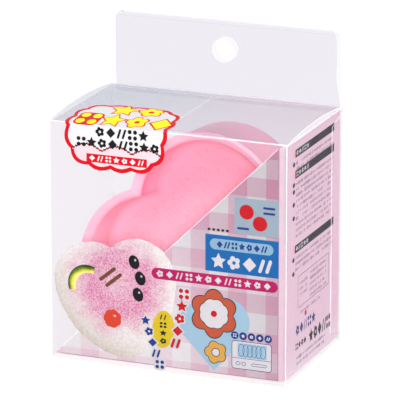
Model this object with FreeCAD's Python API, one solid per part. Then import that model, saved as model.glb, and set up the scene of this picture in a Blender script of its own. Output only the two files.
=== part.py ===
"""Heart-shaped sushi rice mold press in its clear hang box, with a printed insert card and a seal sticker.

Millimetres. +Z is up, -Y is the front that the shopper sees, +X is to the right.
The origin is the middle of the box's footprint, on the surface that it stands on.
"""

import math
import os

import FreeCAD, Part
from FreeCAD import Vector

# --- driving dimensions -----------------------------------------------------

# clear box, outside sizes
BOX_W = 100.0
BOX_D = 64.0
BOX_H = 98.0
SHEET = 0.4  # clear plastic sheet
GAP = 0.1  # play at a free edge
LID_RISE = 2.0  # the top panel bows up in the middle
WALL_END = 0.5  # the side walls stop this far short of the box's top and bottom
TUCK_LENGTH = 11.0
TUCK_HALF_W = 45.0
TUCK_LEAN = 6.0  # degrees that a tuck leans in from the front wall
FLAP_HALF_D = 29.4  # dust flaps, half their depth at the crease
FLAP_TAPER = 2.0  # each side narrows by this at the free edge
LEFT_FLAP_END = -5.0  # X of the left dust flaps' free edge
RIGHT_FLAP_END = -3.0  # X of the right dust flaps' free edge
GLUE_FLAP_W = 11.5

# hang tab: two plies above the back wall, one sheet folded over the top
TAB_HALF_W = 48.3
TAB_TOP = 129.0
TAB_CORNER_R = 3.5
TAB_GAP = 4.3  # between the two plies where they run side by side
TAB_SKEW = 1.7  # the front ply's left edge stands in by this
TAB_SPLAY_TOP = 109.0  # above this height the plies run side by side
TAB_FOOT = 95.0  # the front ply is glued to the back wall from here up
HOLE_R = 5.0
HOLE_Z = 116.8

# insert card
CARD = 0.3  # card thickness
CARD_GAP = 0.05  # behind the front wall
CARD_FRONT_LEFT = -48.8  # X of the triangle's sharp lower corner
CARD_BOTTOM = 1.9
CARD_TOP = 96.6
CARD_FOLD_R = 2.5
CARD_BACK_END = 30.0

# printed rice heart: the card is cut round it (x, z on the front)
RICE_NOTCH = (-24.2, 48.7)
RICE_LEFT_LOBE = (-44.3, 44.7)
RICE_LEFT_SIDE = (-48.9, 31.9)
RICE_LEFT_FLANK = (-40.0, 13.6)
RICE_TIP = (-15.3, 2.8)
RICE_RIGHT_FLANK = (-1.4, 16.7)
RICE_RIGHT_SIDE = (3.7, 35.2)
RICE_RIGHT_LOBE = (-8.8, 53.1)

# seal sticker: a cloud wrapped over the front top edge. Its height runs up the front
# wall and on, past the edge, back along the lid
SEAL = 0.15
SEAL_CENTRE_X = -21.7
SEAL_HALF_W = 22.0
SEAL_BELOW = 18.4
SEAL_BEHIND = 24.5
SEAL_SQUARENESS = 3.4  # exponent: 2 is an ellipse, more is squarer
SEAL_BUMPS = 15
SEAL_BUMP_H = 1.2

# mold: a heart with round lobes, tilted so that its tip points down to the right
HEART_X, HEART_Z = -6.1, 46.2  # midway between the lobes' centres
HEART_TILT = 49.1  # degrees from +X to the line through the lobes' centres
LOBE_R = 28.6  # inside of the press lid at its mouth
LOBE_HALF_SPAN = 16.67
TIP_DISTANCE = 53.0  # from the lobes' line to the centre of the tip's arc
TIP_R = 4.0
MOLD_WALL = 1.2
DRAFT = 0.085  # the walls close in by this per mm of depth
LIP_OUT = 3.75  # a lip stands out this far past the press lid's mouth
LIP_RISE = 2.4  # and this far forward of it
LIP_EDGE = 1.0  # thickness of a lip's outer edge
LIP_FLAT = 0.4  # flat rim on a lip's outer edge
MOUTH_Y = -2.0  # front mouth of the press lid
PRESS_FLOOR_Y = 15.0
PRESS_FILLET = 4.3
BODY_LIP_BEHIND = 1.7  # the body's lip sits this far behind the press lid's
BODY_FLOOR_Y = 29.8
BODY_FILLET = 3.0
PRESS_PLAY = 0.36  # between the press lid and the body, all round

# --- derived positions ------------------------------------------------------

HALF_W, HALF_D = BOX_W / 2, BOX_D / 2
IN_X, IN_Y = HALF_W - SHEET, HALF_D - SHEET  # inside faces of the box's walls
WALL_TOP = BOX_H - WALL_END
HINGE_Y = IN_Y - 0.7  # back crease of the top and bottom panels
LID_FRONT_Y = -IN_Y + GAP
TUCK_Y = -IN_Y + 0.65  # middle of a tuck's sheet at its crease


def box(x0, x1, y0, y1, z0, z1):
    return Part.makeBox(x1 - x0, y1 - y0, z1 - z0, Vector(x0, y0, z0))


def prism(points, along):
    """The solid swept by a closed outline of points."""
    wire = Part.makePolygon([*points, points[0]])
    return Part.Face(wire).extrude(along)


def round_corner(shape, corner, towards, radius, along):
    """Cuts one square corner of a sheet to a radius. towards points from the corner into the sheet."""
    start = corner - along
    block = prism(
        [
            start,
            start + Vector(towards.x * radius, towards.y * radius, 0),
            start + Vector(towards.x * radius, towards.y * radius, towards.z * radius),
            start + Vector(0, 0, towards.z * radius),
        ],
        along * 3,
    )
    centre = start + towards * radius
    return shape.cut(block.cut(Part.makeCylinder(radius, (along * 3).Length, centre, along)))


# --- the clear box ----------------------------------------------------------


def walls():
    return {
        "front_wall": box(-HALF_W, HALF_W, -HALF_D, -IN_Y, 0, BOX_H),
        "back_wall": box(-HALF_W, HALF_W, IN_Y, HALF_D, 0, BOX_H),
        "left_wall": box(-HALF_W, -IN_X, -IN_Y, IN_Y, WALL_END, WALL_TOP),
        "right_wall": box(IN_X, HALF_W, -IN_Y, IN_Y, WALL_END, WALL_TOP),
    }


def glue_flap():
    """The seam: a strip folded from the back wall and glued inside the right wall."""
    front, chamfer, low, high = IN_Y - GLUE_FLAP_W, 3.0, 3.0, BOX_H - 3.0
    outline = [
        Vector(IN_X - SHEET, IN_Y, low),
        Vector(IN_X - SHEET, front, low + chamfer),
        Vector(IN_X - SHEET, front, high - chamfer),
        Vector(IN_X - SHEET, IN_Y, high),
    ]
    return prism(outline, Vector(SHEET, 0, 0))


def bowed_shell(inner, outer):
    """The slice between two heights above the lid's outer face, as bowed as the lid."""
    half_chord = (HINGE_Y - LID_FRONT_Y) / 2
    radius = (half_chord**2 + LID_RISE**2) / (2 * LID_RISE)
    centre = Vector(-HALF_W, HINGE_Y - half_chord, BOX_H + LID_RISE - radius)
    shell = Part.makeCylinder(radius + outer, BOX_W, centre, Vector(1, 0, 0))
    shell = shell.cut(Part.makeCylinder(radius + inner, BOX_W, centre, Vector(1, 0, 0)))
    return shell.common(box(-HALF_W, HALF_W, LID_FRONT_Y, HINGE_Y, BOX_H - 3, BOX_H + 5))


def top_lid():
    side = IN_X + 0.2
    return bowed_shell(-SHEET, 0).common(box(-side, side, -HALF_D, HALF_D, BOX_H - 3, BOX_H + 5))


def bottom_lid():
    side = IN_X + 0.2
    return box(-side, side, LID_FRONT_Y, HINGE_Y, 0, SHEET)


def tuck(crease_z, up):
    """A tuck that stands behind the front wall, leaning in. up is 1 at the bottom of the box and -1 at the top."""
    corner = 8.0
    y0, y1, end = TUCK_Y - SHEET / 2, TUCK_Y + SHEET / 2, crease_z + up * TUCK_LENGTH
    low, high = sorted((crease_z + up * 0.2, end))
    sheet = box(-TUCK_HALF_W, TUCK_HALF_W, y0, y1, low, high)
    for side in (-1, 1):
        at = Vector(side * TUCK_HALF_W, y0, end)
        sheet = round_corner(sheet, at, Vector(-side, 0, -up), corner, Vector(0, SHEET, 0))
    sheet.rotate(Vector(0, TUCK_Y, crease_z), Vector(1, 0, 0), -up * TUCK_LEAN)
    return sheet


def dust_flap(side, free_x, low):
    """A flap folded in from a side wall. side is -1 on the left and 1 on the right."""
    crease, narrow = side * (IN_X - GAP), FLAP_HALF_D - FLAP_TAPER
    outline = [
        Vector(crease, -FLAP_HALF_D, low),
        Vector(free_x, -narrow, low),
        Vector(free_x, narrow, low),
        Vector(crease, FLAP_HALF_D, low),
    ]
    return prism(outline, Vector(0, 0, SHEET))


def flaps():
    top, bottom = WALL_TOP - SHEET, WALL_END
    return {
        "top_dust_flap_left": dust_flap(-1, LEFT_FLAP_END, top),
        "top_dust_flap_right": dust_flap(1, RIGHT_FLAP_END, top),
        "bottom_dust_flap_left": dust_flap(-1, LEFT_FLAP_END, bottom),
        "bottom_dust_flap_right": dust_flap(1, RIGHT_FLAP_END, bottom),
    }


def finish_tab(ply):
    """Rounds a ply's top corners and punches the hang hole, from the front ply's face to the back."""
    depth = TAB_GAP + 2 * SHEET
    through, front_y = Vector(0, depth, 0), HALF_D - depth
    for side in (-1, 1):
        at = Vector(side * TAB_HALF_W, front_y, TAB_TOP)
        ply = round_corner(ply, at, Vector(-side, 0, -1), TAB_CORNER_R, through)
    hole = Part.makeCylinder(HOLE_R, 3 * depth, Vector(0, front_y - depth, HOLE_Z), through)
    return ply.cut(hole)


def hang_tab():
    """The rear ply carries on up from the back wall. The sheet folds over the top and comes down as the front ply."""
    fold_r = TAB_GAP / 2 + SHEET
    foot_y, front_y, fold_z = IN_Y - SHEET, HALF_D - 2 * fold_r, TAB_TOP - fold_r
    rear = box(-TAB_HALF_W, TAB_HALF_W, IN_Y, HALF_D, BOX_H, fold_z)
    outline = [
        (foot_y, TAB_FOOT),
        (foot_y, BOX_H),
        (front_y, TAB_SPLAY_TOP),
        (front_y, fold_z),
        (front_y + SHEET, fold_z),
        (front_y + SHEET, TAB_SPLAY_TOP),
        (foot_y + SHEET, BOX_H),
        (foot_y + SHEET, TAB_FOOT),
    ]
    width = Vector(2 * TAB_HALF_W, 0, 0)
    front = prism([Vector(-TAB_HALF_W, y, z) for y, z in outline], width)
    centre = Vector(-TAB_HALF_W, HALF_D - fold_r, fold_z)
    fold = Part.makeCylinder(fold_r, width.Length, centre, width)
    fold = fold.cut(Part.makeCylinder(fold_r - SHEET, width.Length, centre, width))
    fold = fold.common(box(-TAB_HALF_W, TAB_HALF_W, front_y, HALF_D, fold_z, TAB_TOP))
    askew = [(-TAB_HALF_W, HALF_D), (-TAB_HALF_W + TAB_SKEW, front_y), (-TAB_HALF_W, front_y)]
    trim = prism([Vector(x, y, TAB_FOOT) for x, y in askew], Vector(0, 0, TAB_TOP))
    front = front.fuse(fold).cut(trim).removeSplitter()
    return {"hang_tab_rear": finish_tab(rear), "hang_tab_front": finish_tab(front)}


# --- the insert card --------------------------------------------------------


def rice_heart(y):
    """The picture's outline: two round lobes and two bulging flanks, as four arcs."""
    notch, left, tip, right = (
        Vector(x, y, z) for x, z in (RICE_NOTCH, RICE_LEFT_SIDE, RICE_TIP, RICE_RIGHT_SIDE)
    )
    middles = (RICE_LEFT_LOBE, RICE_LEFT_FLANK, RICE_RIGHT_FLANK, RICE_RIGHT_LOBE)
    corners = (notch, left, tip, right, notch)
    edges = [
        Part.Arc(start, Vector(x, y, z), end).toShape()
        for start, (x, z), end in zip(corners, middles, corners[1:])
    ]
    return Part.Face(Part.Wire(edges)).extrude(Vector(0, CARD, 0))


def card():
    """The front panel is a triangle with the rice heart standing out of it, folded round to a full side panel."""
    y = -IN_Y + CARD_GAP
    fold_x = IN_X - SHEET - CARD_GAP - CARD_FOLD_R  # where the fold's arc starts
    outline = [(CARD_FRONT_LEFT, CARD_BOTTOM), (fold_x, CARD_BOTTOM), (fold_x, CARD_TOP)]
    front = prism([Vector(x, y, z) for x, z in outline], Vector(0, CARD, 0)).fuse(rice_heart(y))
    centre = Vector(fold_x, y + CARD_FOLD_R, CARD_BOTTOM)
    height = CARD_TOP - CARD_BOTTOM
    fold = Part.makeCylinder(CARD_FOLD_R, height, centre).cut(
        Part.makeCylinder(CARD_FOLD_R - CARD, height, centre)
    )
    right = fold_x + CARD_FOLD_R
    fold = fold.common(box(fold_x, right, y, y + CARD_FOLD_R, CARD_BOTTOM, CARD_TOP))
    side = box(right - CARD, right, y + CARD_FOLD_R, CARD_BACK_END, CARD_BOTTOM, CARD_TOP)
    return {
        "card_front": front.removeSplitter(),
        "card_side": fold.fuse(side).removeSplitter(),
    }


# --- the seal sticker -------------------------------------------------------


def seal_outline(z, along):
    """The cloud laid flat at height z, as (x, y) with y = 0 on the front top edge, then swept."""
    middle, half = (SEAL_BEHIND - SEAL_BELOW) / 2, (SEAL_BEHIND + SEAL_BELOW) / 2
    points = []
    for i in range(12 * SEAL_BUMPS):
        turn = 2 * math.pi * i / (12 * SEAL_BUMPS)
        c, s = math.cos(turn), math.sin(turn)
        reach = (abs(c) ** SEAL_SQUARENESS + abs(s) ** SEAL_SQUARENESS) ** (-1 / SEAL_SQUARENESS)
        bump = SEAL_BUMP_H * (1 - abs(math.sin(SEAL_BUMPS * turn / 2)))
        points.append(
            Vector(
                SEAL_CENTRE_X + (SEAL_HALF_W - bump) * reach * c,
                middle + (half - bump) * reach * s,
                z,
            )
        )
    return prism(points, along)


def seal():
    over = box(-HALF_W, HALF_W, GAP + SHEET, BOX_D, BOX_H - 5, BOX_H + 10)
    on_lid = seal_outline(BOX_H - 5, Vector(0, 0, 15)).common(over)
    on_lid.translate(Vector(0, -HALF_D, 0))
    flat = seal_outline(0, Vector(0, 0, SEAL))
    front = flat.common(box(-HALF_W, HALF_W, -BOX_H, 0, 0, SEAL))
    front.rotate(Vector(0, 0, 0), Vector(1, 0, 0), 90)
    front.translate(Vector(0, -HALF_D, BOX_H))
    turn = flat.common(box(-HALF_W, HALF_W, -SEAL, SHEET, 0, SEAL))
    turn.translate(Vector(0, -HALF_D, BOX_H))
    return {
        "seal_top": bowed_shell(0, SEAL).common(on_lid),
        "seal_front": front.fuse(turn).removeSplitter(),
    }


# --- the mold ---------------------------------------------------------------


def heart_wire(grow, y):
    """The mold's heart at depth y, offset outwards by grow: lobe, flank, tip, flank, lobe."""
    across = Vector(math.cos(math.radians(HEART_TILT)), 0, math.sin(math.radians(HEART_TILT)))
    down = Vector(across.z, 0, -across.x)  # from the notch to the tip
    middle = Vector(HEART_X, y, HEART_Z)
    lobe_r, tip_r = LOBE_R + grow, max(TIP_R + grow, 0.4)
    lobe = middle + across * LOBE_HALF_SPAN
    tip = middle + down * TIP_DISTANCE
    span = math.hypot(LOBE_HALF_SPAN, TIP_DISTANCE)
    # the direction, from across towards down, in which the right flank faces
    facing = math.acos((lobe_r - tip_r) / span) - math.atan2(TIP_DISTANCE, -LOBE_HALF_SPAN)
    start = math.acos(-LOBE_HALF_SPAN / lobe_r)  # the notch, seen from the right lobe's centre

    def on(centre, radius, turn, mirror):
        aside = across * (-math.cos(turn) if mirror else math.cos(turn))
        return centre + (aside - down * math.sin(turn)) * radius

    def half(mirror):
        centre = middle - across * LOBE_HALF_SPAN if mirror else lobe
        points = [on(centre, lobe_r, turn, mirror) for turn in (start, (start + facing) / 2, facing)]
        return points, on(tip, tip_r, facing, mirror)

    (notch, right_top, right_out), right_in = half(False)
    (_, left_top, left_out), left_in = half(True)
    return Part.Wire(
        [
            Part.Arc(notch, right_top, right_out).toShape(),
            Part.LineSegment(right_out, right_in).toShape(),
            Part.Arc(right_in, tip + down * tip_r, left_in).toShape(),
            Part.LineSegment(left_in, left_out).toShape(),
            Part.Arc(left_out, left_top, notch).toShape(),
        ]
    )


def heart_stack(sections):
    """A solid through hearts given as (y, grow), straight between each and the next."""
    solids = [
        Part.makeLoft([heart_wire(a, y0), heart_wire(b, y1)], True, True)
        for (y0, a), (y1, b) in zip(sections, sections[1:])
    ]
    return solids[0].multiFuse(solids[1:]).removeSplitter()


def rounded_end(grow, end_y, radius, draft_from):
    """Sections of a drafted wall and of its rounded edge at the floor. grow is the offset at draft_from."""
    start = end_y - radius
    at_start = grow - DRAFT * (start - draft_from)
    steps = [math.radians(a) for a in (30, 60, 90)]
    arc = [(start + radius * math.sin(a), at_start - radius * (1 - math.cos(a))) for a in steps]
    return [(start, at_start), *arc]


def press_lid():
    """A shallow tray with a flared lip, that pushes the rice down in the body."""
    front, back = MOUTH_Y - LIP_RISE, MOUTH_Y + 1.0
    outer = heart_stack(
        [
            (front, LIP_OUT),
            (front + LIP_EDGE, LIP_OUT),
            (back, MOLD_WALL),
            *rounded_end(MOLD_WALL, PRESS_FLOOR_Y + MOLD_WALL, PRESS_FILLET + MOLD_WALL, back),
        ]
    )
    hollow = heart_stack(
        [
            (front, LIP_OUT - LIP_FLAT),
            (MOUTH_Y, 0),
            *rounded_end(0, PRESS_FLOOR_Y, PRESS_FILLET, MOUTH_Y),
        ]
    )
    return outer.cut(hollow)


def mold_body():
    """The deep cup that is packed with rice, with a lip under the press lid's."""
    front = MOUTH_Y - LIP_RISE + BODY_LIP_BEHIND
    mouth = front + LIP_RISE
    inside = MOLD_WALL + PRESS_PLAY
    outer = heart_stack(
        [
            (front, LIP_OUT),
            (front + LIP_EDGE, LIP_OUT),
            (mouth + 0.6, inside + MOLD_WALL),
            *rounded_end(
                inside + MOLD_WALL, BODY_FLOOR_Y + MOLD_WALL, BODY_FILLET + MOLD_WALL, mouth + 0.6
            ),
        ]
    )
    hollow = heart_stack(
        [
            (front, LIP_OUT - LIP_FLAT),
            (mouth, inside),
            *rounded_end(inside, BODY_FLOOR_Y, BODY_FILLET, mouth),
        ]
    )
    return outer.cut(hollow)


def build():
    return {
        **walls(),
        "glue_flap": glue_flap(),
        "top_lid": top_lid(),
        "top_tuck": tuck(WALL_TOP - 0.3, -1),
        "bottom_lid": bottom_lid(),
        "bottom_tuck": tuck(WALL_END + 0.3, 1),
        **flaps(),
        **hang_tab(),
        **card(),
        **seal(),
        "mold_body": mold_body(),
        "press_lid": press_lid(),
    }


os.makedirs("parts", exist_ok=True)
for name, shape in build().items():
    shape.exportStep(f"parts/{name}.step")
    print(name, len(shape.Solids), round(shape.Volume), shape.isValid())
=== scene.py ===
"""Looks for a heart-shaped rice mold press in its clear hang box.

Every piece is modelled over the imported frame. Flat pieces are cut in a sheet's own (u, v), in
millimetres, and a place function folds them to where they lie, w millimetres over the sheet.
"""

import math
from functools import partial

import bmesh
import bpy
from bpy.props import FloatProperty, FloatVectorProperty, IntProperty, PointerProperty
from mathutils import Matrix, Quaternion, Vector
from mathutils.geometry import tessellate_polygon


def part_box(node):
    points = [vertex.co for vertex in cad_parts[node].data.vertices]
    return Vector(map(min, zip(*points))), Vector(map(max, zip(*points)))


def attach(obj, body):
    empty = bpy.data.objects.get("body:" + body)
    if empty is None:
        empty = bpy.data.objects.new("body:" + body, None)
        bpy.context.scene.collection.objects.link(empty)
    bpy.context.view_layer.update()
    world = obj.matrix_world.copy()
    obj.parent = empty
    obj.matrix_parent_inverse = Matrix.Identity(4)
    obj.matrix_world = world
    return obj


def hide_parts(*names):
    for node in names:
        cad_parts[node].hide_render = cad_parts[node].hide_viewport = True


bl_info = {
    "name": "Rice mold press in a hang box",
    "version": (1, 0, 0),
    "blender": (4, 5, 0),
    "location": "View3D > Sidebar > Rice mold",
    "description": "Builds the heart mold, its clear box, insert card and seal over a packed frame",
    "category": "Object",
}

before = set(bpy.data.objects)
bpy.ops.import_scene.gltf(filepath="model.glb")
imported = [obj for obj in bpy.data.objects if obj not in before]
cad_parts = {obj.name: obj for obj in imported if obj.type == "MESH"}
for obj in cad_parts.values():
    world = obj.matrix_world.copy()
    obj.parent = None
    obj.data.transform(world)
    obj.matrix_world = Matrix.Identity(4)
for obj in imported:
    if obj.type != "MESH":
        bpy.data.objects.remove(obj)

MM = 0.001


def span(node):
    """A node's lowest and highest corner, in millimetres."""
    low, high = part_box(node)
    return low / MM, high / MM


FRONT_LOW, FRONT_HIGH = span("front_wall")
LEFT_LOW, LEFT_HIGH = span("left_wall")
LID_LOW, LID_HIGH = span("top_lid")
CARD_LOW, CARD_HIGH = span("card_front")
BACK_Y = span("back_wall")[1].y
RIGHT_X = span("right_wall")[1].x
SIDE_HIGH = span("card_side")[1]
SHEET = FRONT_HIGH.y - FRONT_LOW.y
CARD_SHEET = CARD_HIGH.y - CARD_LOW.y


# --- sizes and colours --------------------------------------------------------------


def linear(hex_value):
    """An sRGB hex colour as linear red, green, blue and alpha."""
    channels = [int(hex_value[i : i + 2], 16) / 255 for i in (1, 3, 5)]
    return (*[c / 12.92 if c <= 0.04045 else ((c + 0.055) / 1.055) ** 2.4 for c in channels], 1.0)


def length(name, description, mm):
    return FloatProperty(name=name, description=description, default=mm * MM, unit="LENGTH", precision=5)


def angle(name, description, degrees):
    return FloatProperty(name=name, description=description, default=math.radians(degrees), subtype="ANGLE")


def scalar(name, description, value, unit="NONE"):
    return FloatProperty(name=name, description=description, default=value, unit=unit)


def colour(name, description, hex_value):
    return FloatVectorProperty(
        name=name, description=description, default=linear(hex_value), subtype="COLOR", size=4, min=0, max=1
    )


class ClearBoxSettings(bpy.types.PropertyGroup):
    crease_radius: length("Crease radius", "Outside radius of the box's folded corners", 0.3)
    crease_band: length("Crease band", "Width of the whitened band along a straight crease", 0.15)
    lid_rise: length("Lid rise", "How far the top panel bows up in the middle", 2.0)
    tab_corner: length("Tab corner radius", "Radius of the hang tab's top corners", 3.5)
    tab_splay_top: length("Splay top", "Height above which the tab's two plies run side by side", 109.0)
    tab_skew: length("Tab skew", "How far the front ply's left edge stands in", 1.7)
    hole_radius: length("Hole radius", "Radius of the hang hole", 5.0)
    hole_height: length("Hole height", "Height of the hang hole's centre", 116.8)
    tuck_corner: length("Tuck corner radius", "Radius of the tucks' free corners", 8.0)
    tuck_lean: angle("Tuck lean", "How far a tuck leans in from the front wall", 6)
    tint: colour("Sheet tint", "What one face of the sheet lets through, looked at squarely", "#FAF9FA")
    slant_tint: colour("Slant tint", "What one face of the sheet lets through, looked at along it", "#F9F8FA")
    # the lid's tints are greyer than the walls' as a painted reflection of darker surroundings, and pinker at
    # its right as a painted reflection of the pink card
    lid_square_tint: colour("Square lid tint", "The lid's tint, looked at squarely", "#F5F4F7")
    lid_tint: colour("Lid tint", "The lid's tint at its left, looked at along it", "#E7EAED")
    lid_pink_reflection_tint: colour("Right lid tint", "The same at its right, over the pink card", "#EEE8EC")
    tab_tint: colour("Tab tint", "What one face of the hang tab lets through", "#F9F8FA")
    # the creases' white is partly real crazing and partly painted glint; the cut edges' white is a painted
    # glint
    crease_and_glint_white: colour("Crease white", "Colour of the whitened creases and cut edges", "#FFFFFF")


class CardSettings(bpy.types.PropertyGroup):
    square: length("Gingham square", "Width of one gingham square", 7.87)
    gingham_x: length("Gingham column", "A column edge of the gingham", 33.4)
    gingham_z: length("Gingham row", "A row edge of the gingham", 83.7)
    fold_radius: length("Fold radius", "Outside radius of the fold to the side panel", 2.5)
    white_margin: length("White margin", "Unprinted margin along the slanted cut", 0.15)
    # the colours high up are darker, partly by painted shade from the lid
    paper: colour("Paper white", "Colour of the unprinted squares, high up", "#B4B2B2")
    single: colour("Single stripe", "Colour where one stripe is printed, high up", "#AC939E")
    double: colour("Double stripe", "Colour where two stripes cross, high up", "#A8798C")
    paper_low: colour("Low paper white", "Colour of the unprinted squares, at the foot", "#D2D1D1")
    single_low: colour("Low single stripe", "Colour where one stripe is printed, at the foot", "#D0C3C7")
    double_low: colour("Low double stripe", "Colour where two stripes cross, at the foot", "#CEB4BE")
    side_pink: colour("Side pink", "Ground colour of the side panel", "#E1C1CF")
    # the greyer pink round the fold and the dark line where the fold starts are painted shade of the card
    # turning away
    shaded_fold_pink: colour("Fold pink", "Ground colour round the fold", "#C9B2BB")
    painted_fold_shade: colour("Fold shade", "Pressed line where the fold starts", "#9C8490")


class InkSettings(bpy.types.PropertyGroup):
    blue: colour("Blue", "Panel under the light pill", "#0B5C9C")
    pale_blue: colour("Pale blue", "Drop-shaped plate", "#90B1C2")
    steel: colour("Steel", "Grey-blue square plate", "#8C9DA8")
    light_blue: colour("Light blue", "Light pill", "#80A6BA")
    magenta: colour("Magenta", "Long pill", "#AA0C58")
    yellow: colour("Yellow", "Oval", "#C8B01A")
    amber: colour("Amber", "Small flower", "#C79646")
    orange: colour("Orange", "Large flower", "#B04E34")
    red: colour("Red", "Marks and rounds", "#B40E18")
    navy: colour("Navy", "Outlines and dots", "#1B3478")
    black: colour("Black", "Short marks", "#1C1A1E")
    white: colour("White", "Shapes knocked out of a ground", "#C6C5C6")
    bar: colour("Bar", "Heading bars on the side panel", "#1C0E20")
    grey: colour("Grey", "Small dashes on the side panel", "#70546A")
    blush: colour("Blush", "End caps of the heading bars", "#F6AEB6")


class RiceSettings(bpy.types.PropertyGroup):
    cream: colour("Cream", "Plain rice at the edge", "#DCD9D6")
    shade: colour("Shade", "Shaded side of the rice", "#BBB4A6")
    pink: colour("Pink", "Rice dusted with pink", "#C4809F")
    deep_pink: colour("Deep pink", "Thickest pink dusting", "#BC4674")
    rind: colour("Rind", "Dark rind of the green slice", "#2A3A12")
    flesh: colour("Flesh", "Flesh of the green slice", "#C9C63C")
    toast: colour("Toast", "Brown strips", "#6A3C26")
    olive: colour("Olive", "Black ovals", "#0C090C")
    tomato: colour("Tomato", "Orange-red round", "#C63C22")


class SealSettings(bpy.types.PropertyGroup):
    centre_x: length("Centre", "Middle of the seal, across the box", -21.7)
    half_width: length("Half width", "Half the seal's width", 22.0)
    below: length("Below the edge", "How far the seal hangs down the front wall", 18.4)
    behind: length("Behind the edge", "How far the seal runs back over the lid", 24.5)
    squareness: scalar("Squareness", "Exponent of the outline: 2 is an ellipse", 3.4)
    bumps: IntProperty(name="Bumps", description="Scallops round the outline", default=15)
    bump_height: length("Bump height", "Depth of a scallop", 1.2)
    border: length("Border", "Width of the red border", 1.7)
    field: colour("Field", "White field of the seal", "#CBCACC")
    hills: colour("Hills", "Pale hills at the foot of the seal", "#CBBAC0")
    red: colour("Seal red", "Border, plate and edges of the shapes", "#C00E1C")
    zigzag: colour("Zigzag", "Line over the hills", "#780A1E")
    shapes: colour("Shapes", "Large shapes in the upper half", "#F8E000")


class MoldSettings(bpy.types.PropertyGroup):
    centre_x: length("Heart X", "Midway between the lobes, across the box", -6.1)
    centre_z: length("Heart Z", "Midway between the lobes, above the base", 46.2)
    tilt: angle("Tilt", "From +X to the line through the lobes", 49.1)
    lobe_radius: length("Lobe radius", "Inside of the press lid at its mouth", 28.6)
    half_span: length("Half span", "From the middle to a lobe's centre", 16.67)
    tip_distance: length("Tip distance", "From the lobes' line to the tip arc's centre", 53.0)
    tip_radius: length("Tip radius", "Radius of the tip", 4.0)
    wall: length("Wall", "Wall thickness", 1.2)
    draft: scalar("Draft", "How much the walls close in for each unit of depth", 0.085)
    lip_out: length("Lip width", "How far the lip stands out past the press lid's mouth", 3.75)
    lip_rise: length("Lip rise", "How far the lip flares forward", 2.4)
    lip_edge: length("Lip edge", "Thickness of the lip's outer edge", 1.0)
    lip_flat: length("Lip flat", "Flat rim on the lip's outer edge", 0.4)
    mouth_y: length("Mouth", "Front mouth of the press lid", -2.0)
    press_floor_y: length("Press floor", "Floor of the press lid", 15.0)
    press_fillet: length("Press fillet", "Inside radius at the press lid's floor", 4.3)
    body_lip_behind: length("Body lip", "How far the body's lip sits behind the press lid's", 1.7)
    body_floor_y: length("Body floor", "Floor of the body", 29.8)
    body_fillet: length("Body fillet", "Inside radius at the body's floor", 3.0)
    play: length("Play", "Between the press lid and the body", 0.36)
    dome_pitch: length("Emboss pitch", "Spacing of the embossed domes", 2.6)
    dome_radius: length("Emboss radius", "Radius of one embossed dome", 0.62)
    dome_height: length("Emboss height", "Height of one embossed dome", 0.08)
    # the paler lip and inside pinks are painted light, and the deeper pink of the wall below the lip is
    # painted shade
    pink: colour("Pink", "Plastic where it is deep", "#FFB8CA")
    lit_lip_pink: colour("Lip pink", "Plastic at the thin lip, where light comes through", "#FFC6D7")
    inside_pink: colour("Inside pink", "Plastic inside the body, where light gathers", "#FFE4EC")
    shaded_throat_pink: colour("Throat pink", "Plastic of the inner wall, below the lip", "#FF88A6")


class StageSettings(bpy.types.PropertyGroup):
    yaw: angle("Yaw", "Camera's turn round the object", 21.95)
    pitch: angle("Pitch", "Camera's height angle", 16.43)
    roll: angle("Roll", "Camera's roll", -0.01)
    distance: length("Distance", "From the camera to the point it looks at", 1566.0)
    aim_height: length("Aim height", "Height of the point that the camera looks at, before the lift", 49.07)
    aim_right: length("Aim right", "Shift of the aim to the camera's right", 0.97)
    aim_up: length("Aim up", "Shift of the aim along the camera's up", 12.46)
    lens: scalar("Lens", "Focal length in millimetres on a 36 mm sensor", 353.5, "CAMERA")
    world_level: scalar("World level", "Strength of the even white light", 0.3)
    key_power: scalar("Key power", "Power of the soft key light, in watts", 20.7, "POWER")
    fill_power: scalar("Fill power", "Power of the side fill, in watts", 5.1, "POWER")
    back_power: scalar("Back power", "Power of the light behind, in watts", 14.0, "POWER")
    top_power: scalar("Top power", "Power of the overhead light, in watts", 18.0, "POWER")


# --- nodes and materials ------------------------------------------------------------


def add_node(tree, kind, inputs=(), out=0, **settings):
    """Adds a node with its settings and links, and returns that output, or all of them for None.

    kind is the node's type, with ShaderNode left out, and its operation if it has one. inputs are
    values, hex colours or other nodes' outputs, in the order of the sockets or by name or number.
    """
    kind, *operation = kind.split()
    node = tree.nodes.new(kind if "Node" in kind else "ShaderNode" + kind)
    if operation:
        node.operation = operation[0]
    for name, value in settings.items():
        setattr(node, name, value)
    for socket, value in inputs.items() if isinstance(inputs, dict) else enumerate(inputs):
        if isinstance(value, bpy.types.NodeSocket):
            tree.links.new(value, node.inputs[socket])
        else:
            node.inputs[socket].default_value = linear(value) if isinstance(value, str) else value
    return node.outputs if out is None else node.outputs[out]


COLOURS = {"out": 2, "data_type": "RGBA"}  # a Mix node of colours, which are its sockets 6 and 7


def new_material(name):
    """An empty material and its add_node."""
    material = bpy.data.materials.new(name)
    material.use_nodes = True
    material.node_tree.nodes.clear()
    return material, partial(add_node, material.node_tree)


def object_mm(add):
    """Object coordinates in millimetres."""
    return add("VectorMath SCALE", {0: add("TexCoord", out="Object"), "Scale": 1 / MM})


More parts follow.
